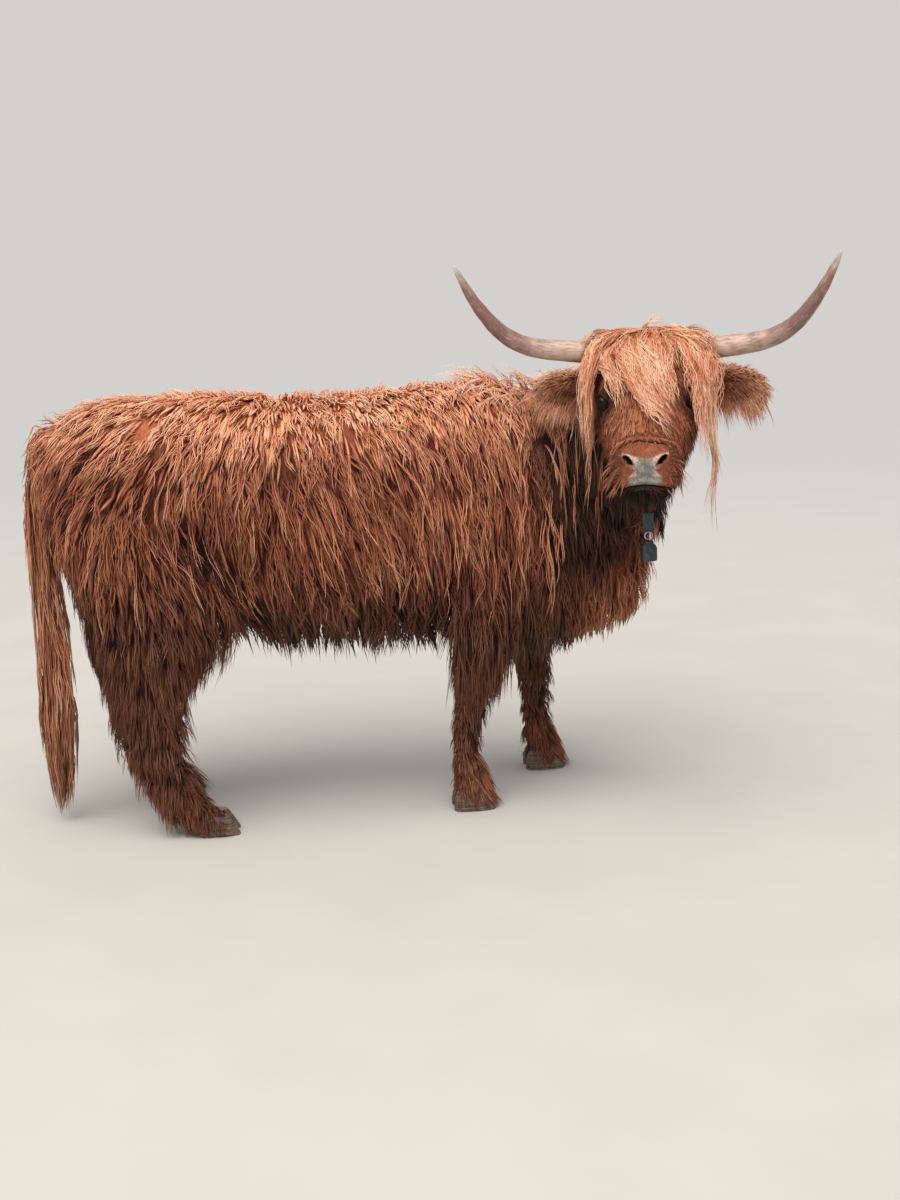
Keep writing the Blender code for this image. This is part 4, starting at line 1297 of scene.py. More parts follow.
for k in range(TAIL_STEPS + 1):
    t = k / TAIL_STEPS
    z = root[:, 2] - tail_length * t
    half = np.interp(z, TAIL_Z, TAIL_HALF) * share
    middle = np.interp(z, TAIL_Z, TAIL_X) + STAND[0]
    column = np.stack([middle + half * np.cos(turn), STAND[1] + half * np.sin(turn), z], 1)
    path[k] = root * (1 - ease(0.0, 0.35, t)) + column * ease(0.0, 0.35, t)
    path[k, :, 2] = z
outs = np.broadcast_to(np.stack([np.cos(turn), np.sin(turn), 0 * turn], 1), path.shape).copy()
spec = lock_spec(tail_length, hairs=6, rings=6, width=0.0042, spread=0.012, layer=0.01, wave=0.0035,
                 wave_len=0.11, clump=0.45)
spec["gold"] = np.interp(root[:, 2], [0.4, 0.85], [0.8, 0.3])
spec["deep_and_shade"] = np.interp(root[:, 2], [0.3, 0.6], [0.6, 0.3])
spec["tone"] = spec["tone"] + 0.14 + 0.15 * rng.normal(0, 1, TAIL_LOCKS)
tail_hair = blades("tail_hair", path, outs, spec, map_place(root))

FOOT_LOCKS = 640
root, normal = scatter(FOOT_LOCKS, lambda p, n: ((p[:, 2] > 0.045) & (p[:, 2] < 0.155)) * 1.0)
foot_length = (0.044 + 0.032 * rng.random(FOOT_LOCKS)) * np.interp(root[:, 2], [0.045, 0.1], [0.75, 1.1])
front = ease(0.2, 0.8, normal @ X_AX)
foot_length *= 1 + 0.3 * front
way = normal * 0.2 - UP + (0.2 + 0.4 * front)[:, None] * X_AX + 0.05 * rng.normal(0, 1, root.shape)
path, outs = sweep(root, normal, way, foot_length, 0.45)
path = clear_of_hide(path, np.repeat(np.array([0.0, 0.3, 0.6, 0.9, 1.0]) * 0.007, FOOT_LOCKS))
path[:, :, 2] = np.maximum(path[:, :, 2], 0.004)
spec = lock_spec(foot_length, hairs=6, rings=3, width=0.003, spread=0.013, layer=0.006, wave=0.001,
                 wave_len=0.05, clump=0.1, gold=0.25, deep_and_shade=0.5, tone=0.04)
foot_hair = blades("foot_hair", path, outs, spec, map_place(root))
coat += [tail_hair, foot_hair]
print("tail and feet faces", len(tail_hair.data.polygons), len(foot_hair.data.polygons))

# %% [markdown]
# ## Ears, face and forelock
# The ears carry a deep fringe that fans out from their roots. On the face the hair is short enough to
# show the bones, longer and fuller over the jaw, and it grows shorter still toward the nose pad. Over
# the poll lies the forelock, bleached nearly blond and parted by its own weight: one fall past the
# right eye, a heavy one that crosses the nose, one past the left eye, and a long curl that swings below
# the jaw.

# %% Hair of the ears


def ear_zone(points):
    u, v, w = to_head(points).T
    return (np.abs(v) > 0.13) & (np.abs(v) < 0.34) & (u > 0.0) & (u < 0.13) & (w > -0.16) & (w < 0.0)


EAR_LOCKS = 1400
root, normal = scatter(EAR_LOCKS, lambda p, n: ear_zone(p) * 1.0)
_, ev, ew = to_head(root).T
side = np.sign(ev)
out_v, out_w = np.abs(ev) - 0.125, ew + 0.072
rim = ease(0.5, 1.0, np.hypot(out_v / 0.175, out_w / 0.055))
inner = (normal @ HU > 0.1) * (1 - rim)
top_edge = ease(-0.052, -0.03, ew)
low_edge = ease(-0.08, -0.112, ew)
far = ease(0.22, 0.28, np.abs(ev))
radial = unit((side * (out_v * 0.8 + 0.004))[:, None] * HV + (out_w * 2.2)[:, None] * HW)
way = radial * (0.75 + 0.4 * rim)[:, None] + normal * (0.45 - 0.25 * rim)[:, None]
droop = 0.3 * inner + 0.25 * low_edge + 0.35 * far * (1 - top_edge)
way = way + np.outer(0.1 * top_edge, HW) + np.outer(0.5 * side * top_edge, HV) - np.outer(droop, UP)
way = way + 0.1 * rng.normal(0, 1, root.shape)
ear_length = 0.031 - 0.004 * top_edge - 0.004 * far + 0.022 * low_edge + 0.006 * inner
ear_length *= 0.55 + 0.75 * rng.random(EAR_LOCKS)
path, outs = sweep(root, normal, way, ear_length, 0.22 + 0.5 * low_edge + 0.25 * far)
spec = lock_spec(ear_length, hairs=5, rings=3, width=0.0016, spread=0.01, layer=0.007, wave=0.0012,
                 wave_len=0.04, clump=0.0)
spec["gold"] = np.clip(0.35 + 0.45 * np.maximum(rim, low_edge) - 0.2 * inner, 0, 1)
spec["deep_and_shade"] = 0.2 * inner * (1 - low_edge)
spec["tone"] = 0.26 + 0.42 * rim * (1 - 0.2 * low_edge) - 0.12 * inner
ear_hair = blades("ear_hair", path, outs, spec, map_place(root))

# %% Hair of the face


def face_density(points, normals):
    heads = to_head(points)
    zones = face_zones(heads)
    u, v, w = heads.T
    keep = head_part(points) & ~ear_zone(points)
    below = mouth_w(u, v) - w
    bald = np.maximum.reduce([zones["pad"], zones["nostril"], zones["lip"] * ease(0.013, 0.007, below)])
    slit = np.abs(w - mouth_w(u, v)) < 0.004 * ease(0.37, 0.39, u)
    crease = (np.abs(crease_gap(u, v)) < 0.0045) & (w > -0.115)
    fine = 1.0 + 0.7 * ease(0.33, 0.38, u) + 0.5 * ease(-0.09, -0.12, w)
    return keep * (1 - bald) * (eye_distance(points) > EYE_R + 0.0042) * ~slit * ~crease * fine


def whisker_zone(points):
    """The sides of the muzzle and the upper lip toward the corners of the mouth."""
    u, v, w = to_head(points).T
    at_lip = (w < -0.05) & (w > mouth_w(u, v) - 0.004)
    return (u > 0.385) & (u < 0.46) & (np.abs(v) > 0.046) & at_lip & head_part(points)


def on_bridge(points, normals):
    """The front of the face between the brow and the fold of the muzzle."""
    u, v, w = to_head(points).T
    return ((u > 0.16) & (u < 0.315) & (np.abs(v) < 0.06) & (w > -0.06) & head_part(points)) * 1.0


FACE_LOCKS = 7600
root, normal = scatter(FACE_LOCKS, face_density)
heads = to_head(root)
u, v, w = heads.T
side = np.sign(v) * ease(0, 0.03, np.abs(v))
cap = ease(0.362, 0.374, u) * ease(-0.135, -0.115, w) * (1 - ease(0.055, 0.08, np.abs(v)))
muzzle_side = ease(0.362, 0.374, u) * ease(0.055, 0.08, np.abs(v))
jaw = ease(-0.06, -0.11, w) * ease(0.39, 0.31, u)
temple = ease(0.085, 0.112, np.abs(v)) * ease(0.13, 0.06, u)
beard = ease(-0.098, -0.114, w) * ease(0.27, 0.36, u)
crown = ease(0.12, 0.02, u) * ease(-0.02, 0.0, w)
way = (1 - 1.35 * cap - 0.9 * muzzle_side)[:, None] * HU + (side * (0.4 + 0.5 * cap + 0.35 * jaw))[:, None] * HV
way = way - (0.25 + 0.5 * jaw + 0.5 * muzzle_side)[:, None] * HW
way = way * (1 - beard)[:, None] - UP * 1.4 * beard[:, None]
way = way - normal * (way * normal).sum(1, keepdims=True) * (1 - 0.6 * jaw)[:, None]
lift = 0.11 + 0.1 * jaw + 0.16 * temple + 0.18 * beard + 0.15 * crown + 0.04 * muzzle_side
way = unit(way) + normal * lift[:, None] + 0.06 * rng.normal(0, 1, root.shape)
face_length = np.interp(u, [0.0, 0.12, 0.25, 0.36], [0.048, 0.034, 0.036, 0.03])
for zone_at, size in ((cap, 0.0065), (muzzle_side, 0.01), (jaw, 0.025), (temple, 0.03), (beard, 0.042)):
    face_length = face_length + (size - face_length) * zone_at
face_length *= 0.7 + 0.6 * rng.random(FACE_LOCKS)
path, outs = sweep(root, normal, way, face_length, 0.08 + 0.45 * jaw + 0.5 * beard, steps=3)
path = clear_of_hide(path, np.outer(np.arange(4) / 3 * 0.0045, np.clip(face_length / 0.03, 0.15, 2)))
spec = lock_spec(face_length, hairs=2, rings=2, spread=0.004, layer=face_length * 0.08, wave=0.0006,
                 wave_len=0.035, clump=0.3, sunk=-0.0006)
spec["width"] = np.repeat(0.0022 - 0.0009 * cap + 0.0008 * np.maximum(jaw, beard), 2)
spec["gold"] = 0.1 * cap * (1 - beard) + 0.35 * (1 - jaw) * ease(-0.1, -0.03, w) * (1 - cap) * (1 - muzzle_side)
# Painted shade: eye_shade darkens the hair round the eye, and the sides of the muzzle are darkened as well. The
# chin hair is near-black, partly its own colour and partly painted shade under the jaw.
eye_shade = ease(0.074, 0.036, eye_distance(root))
spec["deep_and_shade"] = np.clip(0.25 * jaw + 1.0 * beard + 0.65 * eye_shade + 0.4 * muzzle_side, 0, 1)
spec["tone"] = -1.3 * beard - 0.04 * cap - 0.1 * muzzle_side - 0.45 * eye_shade - 0.06 * jaw * (1 - beard)
face_hair = blades("face_hair", path, outs, spec, map_place(root))

WHISKERS = 46
root, normal = scatter(WHISKERS, lambda p, n: whisker_zone(p) * 1.0)
wv = to_head(root)[:, 1]
way = normal * 0.55 + (0.45 * np.sign(wv))[:, None] * HV - 0.75 * UP + 0.16 * rng.normal(0, 1, root.shape)
whisker_length = 0.022 + 0.022 * rng.random(WHISKERS)
path, outs = sweep(root, normal, way, whisker_length, 0.45)
spec = lock_spec(whisker_length, hairs=3, rings=4, width=0.0009, spread=0.007, layer=0.004, wave=0.0012,
                 wave_len=0.04, clump=0.0, gold=0.7)
whiskers = blades("whiskers", path, outs, spec, map_place(root))

BRIDGE_LOCKS = 150
root, normal = scatter(BRIDGE_LOCKS, on_bridge)
bv = to_head(root)[:, 1]
way = HU + (0.9 * bv / 0.08)[:, None] * 0.35 * HV + normal * 0.16 + 0.1 * rng.normal(0, 1, root.shape)
bridge_length = 0.055 + 0.045 * rng.random(BRIDGE_LOCKS)
bridge_length = np.minimum(bridge_length, (CREASE_U - 0.012 - to_head(root)[:, 0]) / 0.95)
flat_way = way - normal * (way * normal).sum(1, keepdims=True) * 0.8
path, outs = sweep(root, normal, flat_way, bridge_length, 0.0, steps=6)
path = clear_of_hide(path, np.outer(ease(0, 0.3, np.arange(7) / 6), np.full(BRIDGE_LOCKS, 0.007)))
spec = lock_spec(bridge_length, hairs=4, rings=6, width=0.0014, spread=0.007, layer=0.004, wave=0.0014,
                 wave_len=0.09, clump=0.4, gold=0.5, tone=-0.06)
bridge_hair = blades("bridge_hair", path, outs, spec, map_place(root))

lash_root, lash_way = [], []
for lash_side in (1, -1):
    g, a, b = eye_axes(lash_side)
    x = np.linspace(-0.8, 0.8, 26) * LID_LONG
    at = sphere_at(lash_side, x, almond(x)[0], EYE_R + 0.0025)
    lash_root.append(at)
    lash_way.append(unit(at - EYE_AT[lash_side]) + 0.35 * b - 0.1 * UP)
root, way = np.vstack(lash_root), np.vstack(lash_way)
lash_length = 0.013 * (0.8 + 0.4 * rng.random(len(root)))
path, outs = sweep(root, unit(way), way, lash_length, 0.35)
spec = lock_spec(lash_length, hairs=2, rings=3, width=0.0008, spread=0.0015, layer=0.001, wave=0.0,
                 wave_len=0.05, clump=0.6, deep_and_shade=1.0, tone=-0.9)
lashes = blades("eyelashes", path, outs, spec, map_place(root))
print("ear and face faces", len(ear_hair.data.polygons), len(face_hair.data.polygons))

# %% [markdown]
# Each fall of the forelock is drawn between two guides, given as places in the head's frame from root
# to tip. A lock takes its own place between the guides, strays a little, and is pushed out where it
# would sink into the hide.

# %% Drape the forelock
FALLS = {  # locks, shortest share of the guides, tone, then the two guides as (u, v, w) in millimetres
    "right": (28, 0.55, 0.1, (
        (-10, -70, 36), (40, -112, 40), (92, -146, 0), (150, -153, -52), (210, -153, -120),
        (260, -148, -175)), (
        (-10, -95, 38), (30, -146, 51), (77, -172, 0), (135, -177, -90), (195, -176, -155),
        (240, -168, -205))),
    "right_long": (5, 0.8, 0.1, (
        (0, -95, 42), (52, -144, 36), (110, -160, -60), (190, -170, -150), (270, -160, -240),
        (365, -150, -345)), (
        (0, -90, 44), (52, -138, 40), (110, -150, -50), (190, -158, -140), (260, -150, -220),
        (330, -158, -300))),
    "brow": (26, 0.5, 0.1, (
        (10, -90, 32), (60, -122, 24), (110, -112, 20), (160, -92, 12), (220, -78, 2), (315, -82, -10)), (
        (5, -60, 45), (50, -100, 34), (100, -100, 25), (150, -72, 16), (205, -50, 8), (280, -40, 2))),
    "middle": (86, 0.66, 0.16, (
        (-10, -80, 36), (55, -82, 40), (120, -62, 30), (200, -34, 14), (270, 2, 4), (325, 44, -4),
        (400, 80, -20)), (
        (-30, 30, 36), (30, 40, 44), (85, 52, 38), (130, 60, 28), (175, 66, 16), (215, 70, 10),
        (245, 72, 2))),
    "left": (66, 0.6, 0.12, (
        (-30, 20, 36), (35, 72, 42), (100, 100, 30), (155, 114, 10), (215, 122, -20), (270, 122, -70),
        (300, 136, -95)), (
        (-25, 95, 40), (28, 144, 51), (75, 170, 2), (125, 172, -80), (180, 166, -140), (225, 174, -190),
        (240, 184, -205))),
    "left_curl": (7, 0.93, 0.02, (
        (-20, 95, 46), (50, 146, 40), (100, 166, -60), (180, 158, -145), (240, 176, -210),
        (300, 156, -275), (380, 184, -365)), (
        (-20, 90, 46), (50, 141, 42), (100, 160, -55), (175, 154, -135), (230, 170, -200),
        (290, 152, -265), (360, 174, -345))),
    "poll_left": (42, 0.4, -0.08, (
        (-35, -50, 34), (-20, 20, 42), (15, 90, 48), (45, 140, 41), (77, 170, 4)), (
        (-50, 30, 24), (-36, 90, 36), (-12, 130, 47), (18, 160, 54), (50, 182, 45))),
    "poll_right": (42, 0.4, -0.08, (
        (-35, 40, 34), (-20, -30, 41), (15, -95, 46), (45, -140, 40), (77, -168, 4)), (
        (-50, -30, 24), (-36, -90, 35), (-12, -128, 45), (18, -158, 52), (50, -179, 43))),
    "wisp": (2, 0.85, 0.1, (
        (-30, -20, 36), (-40, -4, 50), (-44, 18, 62), (-40, 48, 58), (-30, 78, 44)), (
        (-30, -10, 36), (-44, 0, 48), (-50, 16, 56), (-46, 40, 54), (-38, 62, 44))),
    "crown": (60, 0.35, -0.22, (
        (-60, -85, 4), (-20, -85, 28), (30, -92, 34), (85, -98, 30), (130, -94, 20)), (
        (-60, 85, 4), (-20, 80, 30), (30, 86, 36), (85, 96, 32), (130, 100, 22))),
}


DRAPE_POINTS = 13


def drape(name, fall, stray=0.0045):
    """One fall of long hair between two guides."""
    count, shortest, tone, first, second = fall
    f = np.clip(rng.random(count) + 0.08 * rng.normal(0, 1, count), 0, 1)[:, None]
    reach = 1 - (1 - shortest) * rng.random(count) ** 1.6
    marks = np.array([a * (1 - f) + b * f for a, b in zip(metres(first), metres(second))])
    along = np.arange(len(marks)) / (len(marks) - 1)
    marks += rng.normal(0, 1, marks.shape) * stray * (0.6 + along)[:, None, None]
    curve = spline_rows([tuple(row.ravel()) for row in marks], 4).reshape(-1, count, 3)
    steps = np.linspace(0, 1, DRAPE_POINTS)
    at = steps[:, None] * reach * (len(curve) - 1)
    low = np.minimum(at.astype(int), len(curve) - 2)
    part = (at - low)[:, :, None]
    each = np.arange(count)
    path = from_head(curve[low, each] * (1 - part) + curve[low + 1, each] * part)
    path = clear_of_hide(path, np.outer(ease(0.0, 0.12, steps), 0.007 + 0.016 * rng.random(count)))
    path[0] = nearest(path[0])[0]
    length = np.linalg.norm(np.diff(path, axis=0), axis=2).sum(0)
    spec = lock_spec(length, hairs=8, rings=9, width=0.0021, spread=0.01, layer=0.012, wave=0.008,
                     wave_len=0.145, clump=0.58, gold=1.0, tone=tone)
    spec["tone"] = spec["tone"] + 0.26 + 0.34 * rng.normal(0, 1, count)
    return blades(name, path, np.array([nearest(row)[1] for row in path]), spec, map_place(path[0]))


falls = [drape("forelock_" + name, fall) for name, fall in FALLS.items()]
print("forelock faces", sum(len(p.data.polygons) for p in falls))

# %% Pale strands on the neck and along the crest


def strands(name, root, normal, lie, length, layer, tone, hairs=5, wild=0.15, gravity=0.5, gold=1.0, deep_and_shade=0.0,
            rings=9, width=0.0022):
    """Long single locks laid over the coat from given roots."""
    path, outs = trace(root, normal, lie, length, layer, np.full(len(root), gravity), 0.5, 9, stiff=0.6,
                       rise=0.3, wild=wild)
    spec = lock_spec(length, 0.015, gold, deep_and_shade, tone, hairs=hairs, rings=rings, width=width, spread=0.009,
                     wave=0.0036, wave_len=0.13, clump=0.5)
    return blades(name, over_the_strap(path), outs, spec, map_place(root))


def mane_lie(points, normals):
    q = points - STAND
    back = ease(0.7, 0.45, q[:, 0])
    return np.stack([-0.3 - 0.9 * back, np.full(len(q), -0.9), np.full(len(q), -0.5)], 1)


def on_crest(points, normals):
    x, y, z = (points - STAND).T
    return ((x > 0.44) & (x < 0.76) & (normals[:, 2] > 0.72) & (z > 1.0) & ~head_part(points)) * 1.0


def on_neck_side(points, normals):
    x, y, z = (points - STAND).T
    return ((x > 0.58) & (x < 0.8) & (normals[:, 1] < -0.2) & (z > 0.98) & (z < 1.14) & ~head_part(points)) * 1.0


MANE_LOCKS, COVER_LOCKS, NECK_LOCKS, FLANK_LOCKS = 90, 170, 20, 150
root, normal = scatter(MANE_LOCKS, on_crest)
mane = strands("mane_wisps", root, normal, mane_lie, 0.09 + 0.12 * rng.random(MANE_LOCKS),
               0.045 + 0.014 * rng.random(MANE_LOCKS), 0.95, hairs=4, wild=0.3)


def above_strap(points, normals):
    """Hide just above the neck strap, on the side of the head, whose hair falls over the strap."""
    a, r = band_place(points)
    a = a * np.sign(BAND_ALONG[2])
    y, z = (points - STAND)[:, 1:].T
    return ((a > 0.02) & (a < 0.075) & (r < 1.5) & (r > 0.5) & (y < 0.0) & (z < 1.05) & ~ear_zone(points)
            & ~head_part(points)) * 1.0


def on_flank(points, normals):
    x, y, z = points.T
    along = np.abs(x - STAND[0]) < 0.62
    return ((z < 1.06) & (z > 0.7) & (normals[:, 1] < 0.2) & ~head_part(points) & along) * 1.0


# The hair over the strap is painted near-black: painted shadow of the turned head on the near side of the throat.
root, normal = scatter(COVER_LOCKS, above_strap)
strap_cover = strands("strap_cover", root, normal, body_lie, 0.09 + 0.03 * rng.random(COVER_LOCKS),
                      0.02 + 0.014 * rng.random(COVER_LOCKS), -0.8, wild=0.1, gravity=0.9, gold=0.0, deep_and_shade=1.0,
                      rings=4, width=0.0036)
root, normal = scatter(NECK_LOCKS, on_neck_side)
neck_strands = strands("neck_strands", root, normal, body_lie, 0.2 + 0.14 * rng.random(NECK_LOCKS),
                       0.045 + 0.015 * rng.random(NECK_LOCKS), -0.05, hairs=4, wild=0.1, gravity=0.3, gold=0.6,
                       deep_and_shade=0.3)
root, normal = scatter(FLANK_LOCKS, on_flank)
flank_strands = strands("flank_strands", root, normal, body_lie, 0.15 + 0.08 * rng.random(FLANK_LOCKS),
                        0.04 + 0.012 * rng.random(FLANK_LOCKS), 0.1, hairs=3, gravity=0.2, gold=0.75)
long_hair = falls + [mane, neck_strands, flank_strands, strap_cover, bridge_hair, whiskers]
print("long strands faces", sum(len(p.data.polygons) for p in (mane, neck_strands, flank_strands)))

# %% [markdown]
# ## Finishes
# Hair is coloured by attributes laid down with each blade: how far along it a point is, which layer it
# lies in, and how golden or deep the coat is at its root. Roots and low layers get painted shade, gold is
# partly painted top light and deep partly painted shade. The hide under it reads the same two zones, so a
# gap shows the same coat in shadow. Fine streaks run along each blade, because it stands for a few dozen
# hairs.

# %% One step that most patterns take


def sway(add, level, pattern, amount, clamp=False):
    """Raises and lowers a level by a 0 to 1 pattern, by up to half of amount either way."""
    centred = add("Math", [pattern, 0.5], operation="SUBTRACT")
    return add("Math", [centred, amount, level], operation="MULTIPLY_ADD", use_clamp=clamp)


# %% Hair
# The gold palette is pale coat, partly real bleach and partly painted top light; the deep palette is dark coat,
# partly painted shade.
COAT = [(0.0, "#3c190f"), (0.28, "#783f2a"), (0.52, "#a56346"), (0.76, "#c98b68"), (1.0, "#e8b694")]
GOLD = [(0.0, "#804025"), (0.28, "#c07350"), (0.52, "#e29c76"), (0.76, "#f9c29f"), (1.0, "#ffe4c9")]
DEEP_AND_SHADE = [(0.0, "#0e0604"), (0.28, "#3b2017"), (0.52, "#5f392a"), (0.76, "#7e5440"), (1.0, "#a27a60")]


def coat_colour(add, level):
    """The three coats at one level of light and dark, mixed by the zones gold and deep: gold is partly painted
    top light and deep partly painted shade.
    """
    colour = add("ValToRGB", [level], stops=COAT, label="plain coat")
    for zone, stops, label in (("gold", GOLD, "bleached coat and top light"), ("deep_and_shade", DEEP_AND_SHADE, "deep coat")):
        share = add("Attribute", out="Fac", attribute_name=zone)
        over = add("ValToRGB", [level], stops=stops, label=label)
        colour = add("Mix", {0: share, 6: colour, 7: over}, out=2, data_type="RGBA")
    return colour


# Hair is smooth keratin: a soft gloss along each lock, and a little sheen for the down between the hairs.
hair, shader, add = new_finish("red-brown hair", Roughness=0.5, Specular_IOR_Level=0.28, Sheen_Weight=0.08,
                               Sheen_Roughness=0.45, Sheen_Tint="#e0a478")
tip, tone, around = [add("Attribute", out="Fac", attribute_name=key) for key in ("tip", "tone", "around")]
# Streaks: about twenty round a blade and two along it, another set for each blade, by its tone.
streak_at = add("CombineXYZ", [add("Math", [mark, size], operation="MULTIPLY")
                               for mark, size in ((around, 5.0), (tip, 1.2), (tone, 90.0))])
streak = add("TexNoise", {"Vector": streak_at, "Scale": 2.0, "Detail": 2.0})
# Patches of lighter and darker coat, some 14 cm across.
patches = add("TexNoise", {"Vector": add("TexCoord", out="Object"), "Scale": 7.0, "Detail": 2.0})
# Darker at the root, paler at the tip: partly bleached tips, partly painted shade among the roots. The tone adds
# the painted shade of low hairs and shaded zones.
level = add("Math", [tip, 0.34, add("Math", [tone, 0.42], operation="MULTIPLY")], operation="MULTIPLY_ADD")
level = sway(add, sway(add, level, streak, 0.8), patches, 0.45, clamp=True)
feed(shader, {"Base Color": coat_colour(add, level),
              "Normal": add("Bump", {"Height": streak, "Strength": 0.4, "Distance": 0.0006})})
coat += [ear_hair, face_hair, lashes]
for piece in coat + long_hair:
    piece.data.materials.append(hair)
print("hair on", len(coat + long_hair), "pieces")

# %% [markdown]
# The hide is three things in one finish. Where the coat is long it is only what shows in the gaps. Over
# the face it is short flat hair, which bump and fine streaks carry. On the nose pad, lips and eyelids
# it is bare, moist skin, grey and pebbled, with pink-white rims by the nostrils.

# %% Hide
points, normals = hide_points(), hide_normals()
zone = coat_at(points, normals)
on_head = head_part(points) & ~ear_zone(points)
zones = face_zones(to_head(points))
u, v, w = to_head(points).T
in_ear = ear_zone(points)
beard_at = ease(-0.095, -0.112, w) * ease(0.27, 0.34, u) * on_head
cap_at = ease(0.362, 0.372, u) * on_head
lid_at = 1 - ease(EYE_R + 0.003, EYE_R + 0.007, eye_distance(points))
crease_at = near(crease_gap(u, v), 0.0038) * on_head * (w > -0.115)
mouth_at = near(w - mouth_w(u, v), 0.0035) * ease(0.37, 0.39, u) * on_head
lip_edge = near(w - mouth_w(u, v) + 0.006, 0.003) * (np.abs(v) < 0.03) * ease(0.44, 0.45, u) * on_head
# On the face the deep zone and a lower short darken the chin, partly its own dark colour and partly painted
# shade, the ring round the eye, partly dark bare skin and partly painted shade, and the sides of the muzzle as
# painted shade. The lid mark lays dark skin over that ring.
marks = {
    "gold": np.where(on_head, 0.16 + 0.05 * cap_at, np.where(in_ear, 0.35, zone["gold"])),
    "deep_and_shade": np.where(on_head, np.clip(0.25 * ease(-0.05, -0.12, w) + beard_at + 0.4 * zones["eye"]
                                      + (0.1 + 0.35 * ease(0.035, 0.07, np.abs(v))) * cap_at, 0, 1),
                     np.where(in_ear, 0.3, zone["deep_and_shade"])),
    "short": on_head * (1 - 0.35 * cap_at) - 0.9 * cap_at * ease(0.045, 0.075, np.abs(v)) * 0.6 - 1.5 * beard_at,
    "pad": zones["pad"] * on_head,
    "pale": zones["pale"] * on_head,
    # Nostrils, the line of the mouth and the fold over the muzzle are painted near-black: painted shade in these
    # recesses.
    "painted_recess_shade": np.clip(np.maximum.reduce([ease(0.45, 0.95, nostril_at), 0.9 * mouth_at, 0.95 * crease_at]), 0, 1),
    "lip": np.clip(zones["lip"] * on_head - 0.22 * lip_edge, 0, 1),
    "lid": np.maximum(lid_at, 0.55 * zones["eye"] * on_head),
}
for key, value in marks.items():
    lay_mark(hide.data, key, value)

# Tanned hide and bare nose leather: dull under the hair, and moist with a pebbled shine on the nose.
skin, shader, add = new_finish("hide and nose leather", Roughness=0.75, Specular_IOR_Level=0.22)
place = add("TexCoord", out="Object")
short, pad, pale, lid, lip, painted_recess_shade = [add("Attribute", out="Fac", attribute_name=key)
                                      for key in ("short", "pad", "pale", "lid", "lip", "painted_recess_shade")]
# Fibres 4 mm apart, coarser than real ones so that they show, and patches 7 cm across.
combed = add("Mapping", {"Vector": place, "Scale": (1.0, 0.25, 0.35)})
fibres = add("TexNoise", {"Vector": combed, "Scale": 260.0, "Detail": 3.0})
patches, speckle, blotches, rims, lid_grain, lip_grain = [
    add("TexNoise", {"Vector": place, "Scale": scale, "Detail": detail}) for scale, detail in (
        (14.0, 3.0), (330.0, 4.0), (60.0, 3.0), (150.0, 3.0), (220.0, 3.0), (120.0, 3.0))]
# Under the long coat the hide takes the coat's darkest levels, painted shade for the gaps; short face hair sits
# higher.
level = add("Math", [short, 0.2, 0.1], operation="MULTIPLY_ADD")
level = sway(add, sway(add, level, fibres, 0.55), patches, 0.3, clamp=True)
# Speckles of 3 mm over blotches of 17 mm.
level_of_nose = sway(add, add("Math", [speckle, 0.7], operation="MULTIPLY"), blotches, 0.6)
leather = add("ValToRGB", [level_of_nose], stops=[(0.25, "#55514b"), (0.5, "#827e76"), (0.75, "#a6a098")])
pink = add("ValToRGB", [rims], stops=[(0.35, "#8f6c61"), (0.65, "#c7a79c")])
nose = add("Mix", {0: pale, 6: leather, 7: pink}, out=2, data_type="RGBA")
lid_skin = add("ValToRGB", [lid_grain], stops=[(0.3, "#140a07"), (0.7, "#38200f")])
lip_skin = add("ValToRGB", [lip_grain], stops=[(0.3, "#0a0605"), (0.7, "#20160f")])
colour = coat_colour(add, level)
# The last mix paints the recesses near-black, as painted shade.
for share, over in ((pad, nose), (lid, lid_skin), (lip, lip_skin), (painted_recess_shade, "#0d0504")):
    colour = add("Mix", {0: share, 6: colour, 7: over}, out=2, data_type="RGBA")
moist = add("Math", [pad, add("Math", [lid, 0.6], operation="MULTIPLY")], operation="MAXIMUM")
shine = add("Math", [moist, sway(add, 0.3, speckle, 0.3)], operation="MULTIPLY")
# Pebbles of 3 mm on the nose, fibres elsewhere.
pebbles = add("Math", [add("TexVoronoi", {"Vector": place, "Scale": 340.0}), 0.8], operation="MULTIPLY")
elsewhere = add("Math", [add("Math", [1.0, pad], operation="SUBTRACT"), fibres], operation="MULTIPLY")
relief = add("Math", [pad, pebbles, elsewhere], operation="MULTIPLY_ADD")
feed(shader, {"Base Color": colour, "Roughness": add("Math", [0.78, shine], operation="SUBTRACT"),
              "Normal": add("Bump", {"Height": relief, "Strength": 0.55, "Distance": 0.0012})})
hide.data.materials.append(skin)

# The rim of a lid is bare dark skin, creased finely: 3 mm in colour, 1.4 mm in relief.
lid_finish, shader, add = new_finish("eyelid rim", Roughness=0.55, Specular_IOR_Level=0.15)
mottle, creases = [add("TexNoise", {"Vector": add("TexCoord", out="Object"), "Scale": scale, "Detail": 3.0})
                   for scale in (300.0, 700.0)]
feed(shader, {"Base Color": add("ValToRGB", [mottle], stops=[(0.3, "#0c0605"), (0.7, "#2a170f")]),
              "Normal": add("Bump", {"Height": creases, "Strength": 0.4, "Distance": 0.0005})})
for piece in lids:
    piece.data.materials.append(lid_finish)
print("hide marks", {key: round(float(value.mean()), 4) for key, value in marks.items()})

# %% [markdown]
# ## Eyes, horn and hoof
# A cow's eye is nearly all iris, dark brown round a long level pupil, under a wet cornea. The horns are
# cream at the base, mottled along the middle and stained dark toward the end, with a pale tip, and a
# rough dark collar where they leave the head. The claws are the same stuff, grey-brown, ringed and
# scuffed.

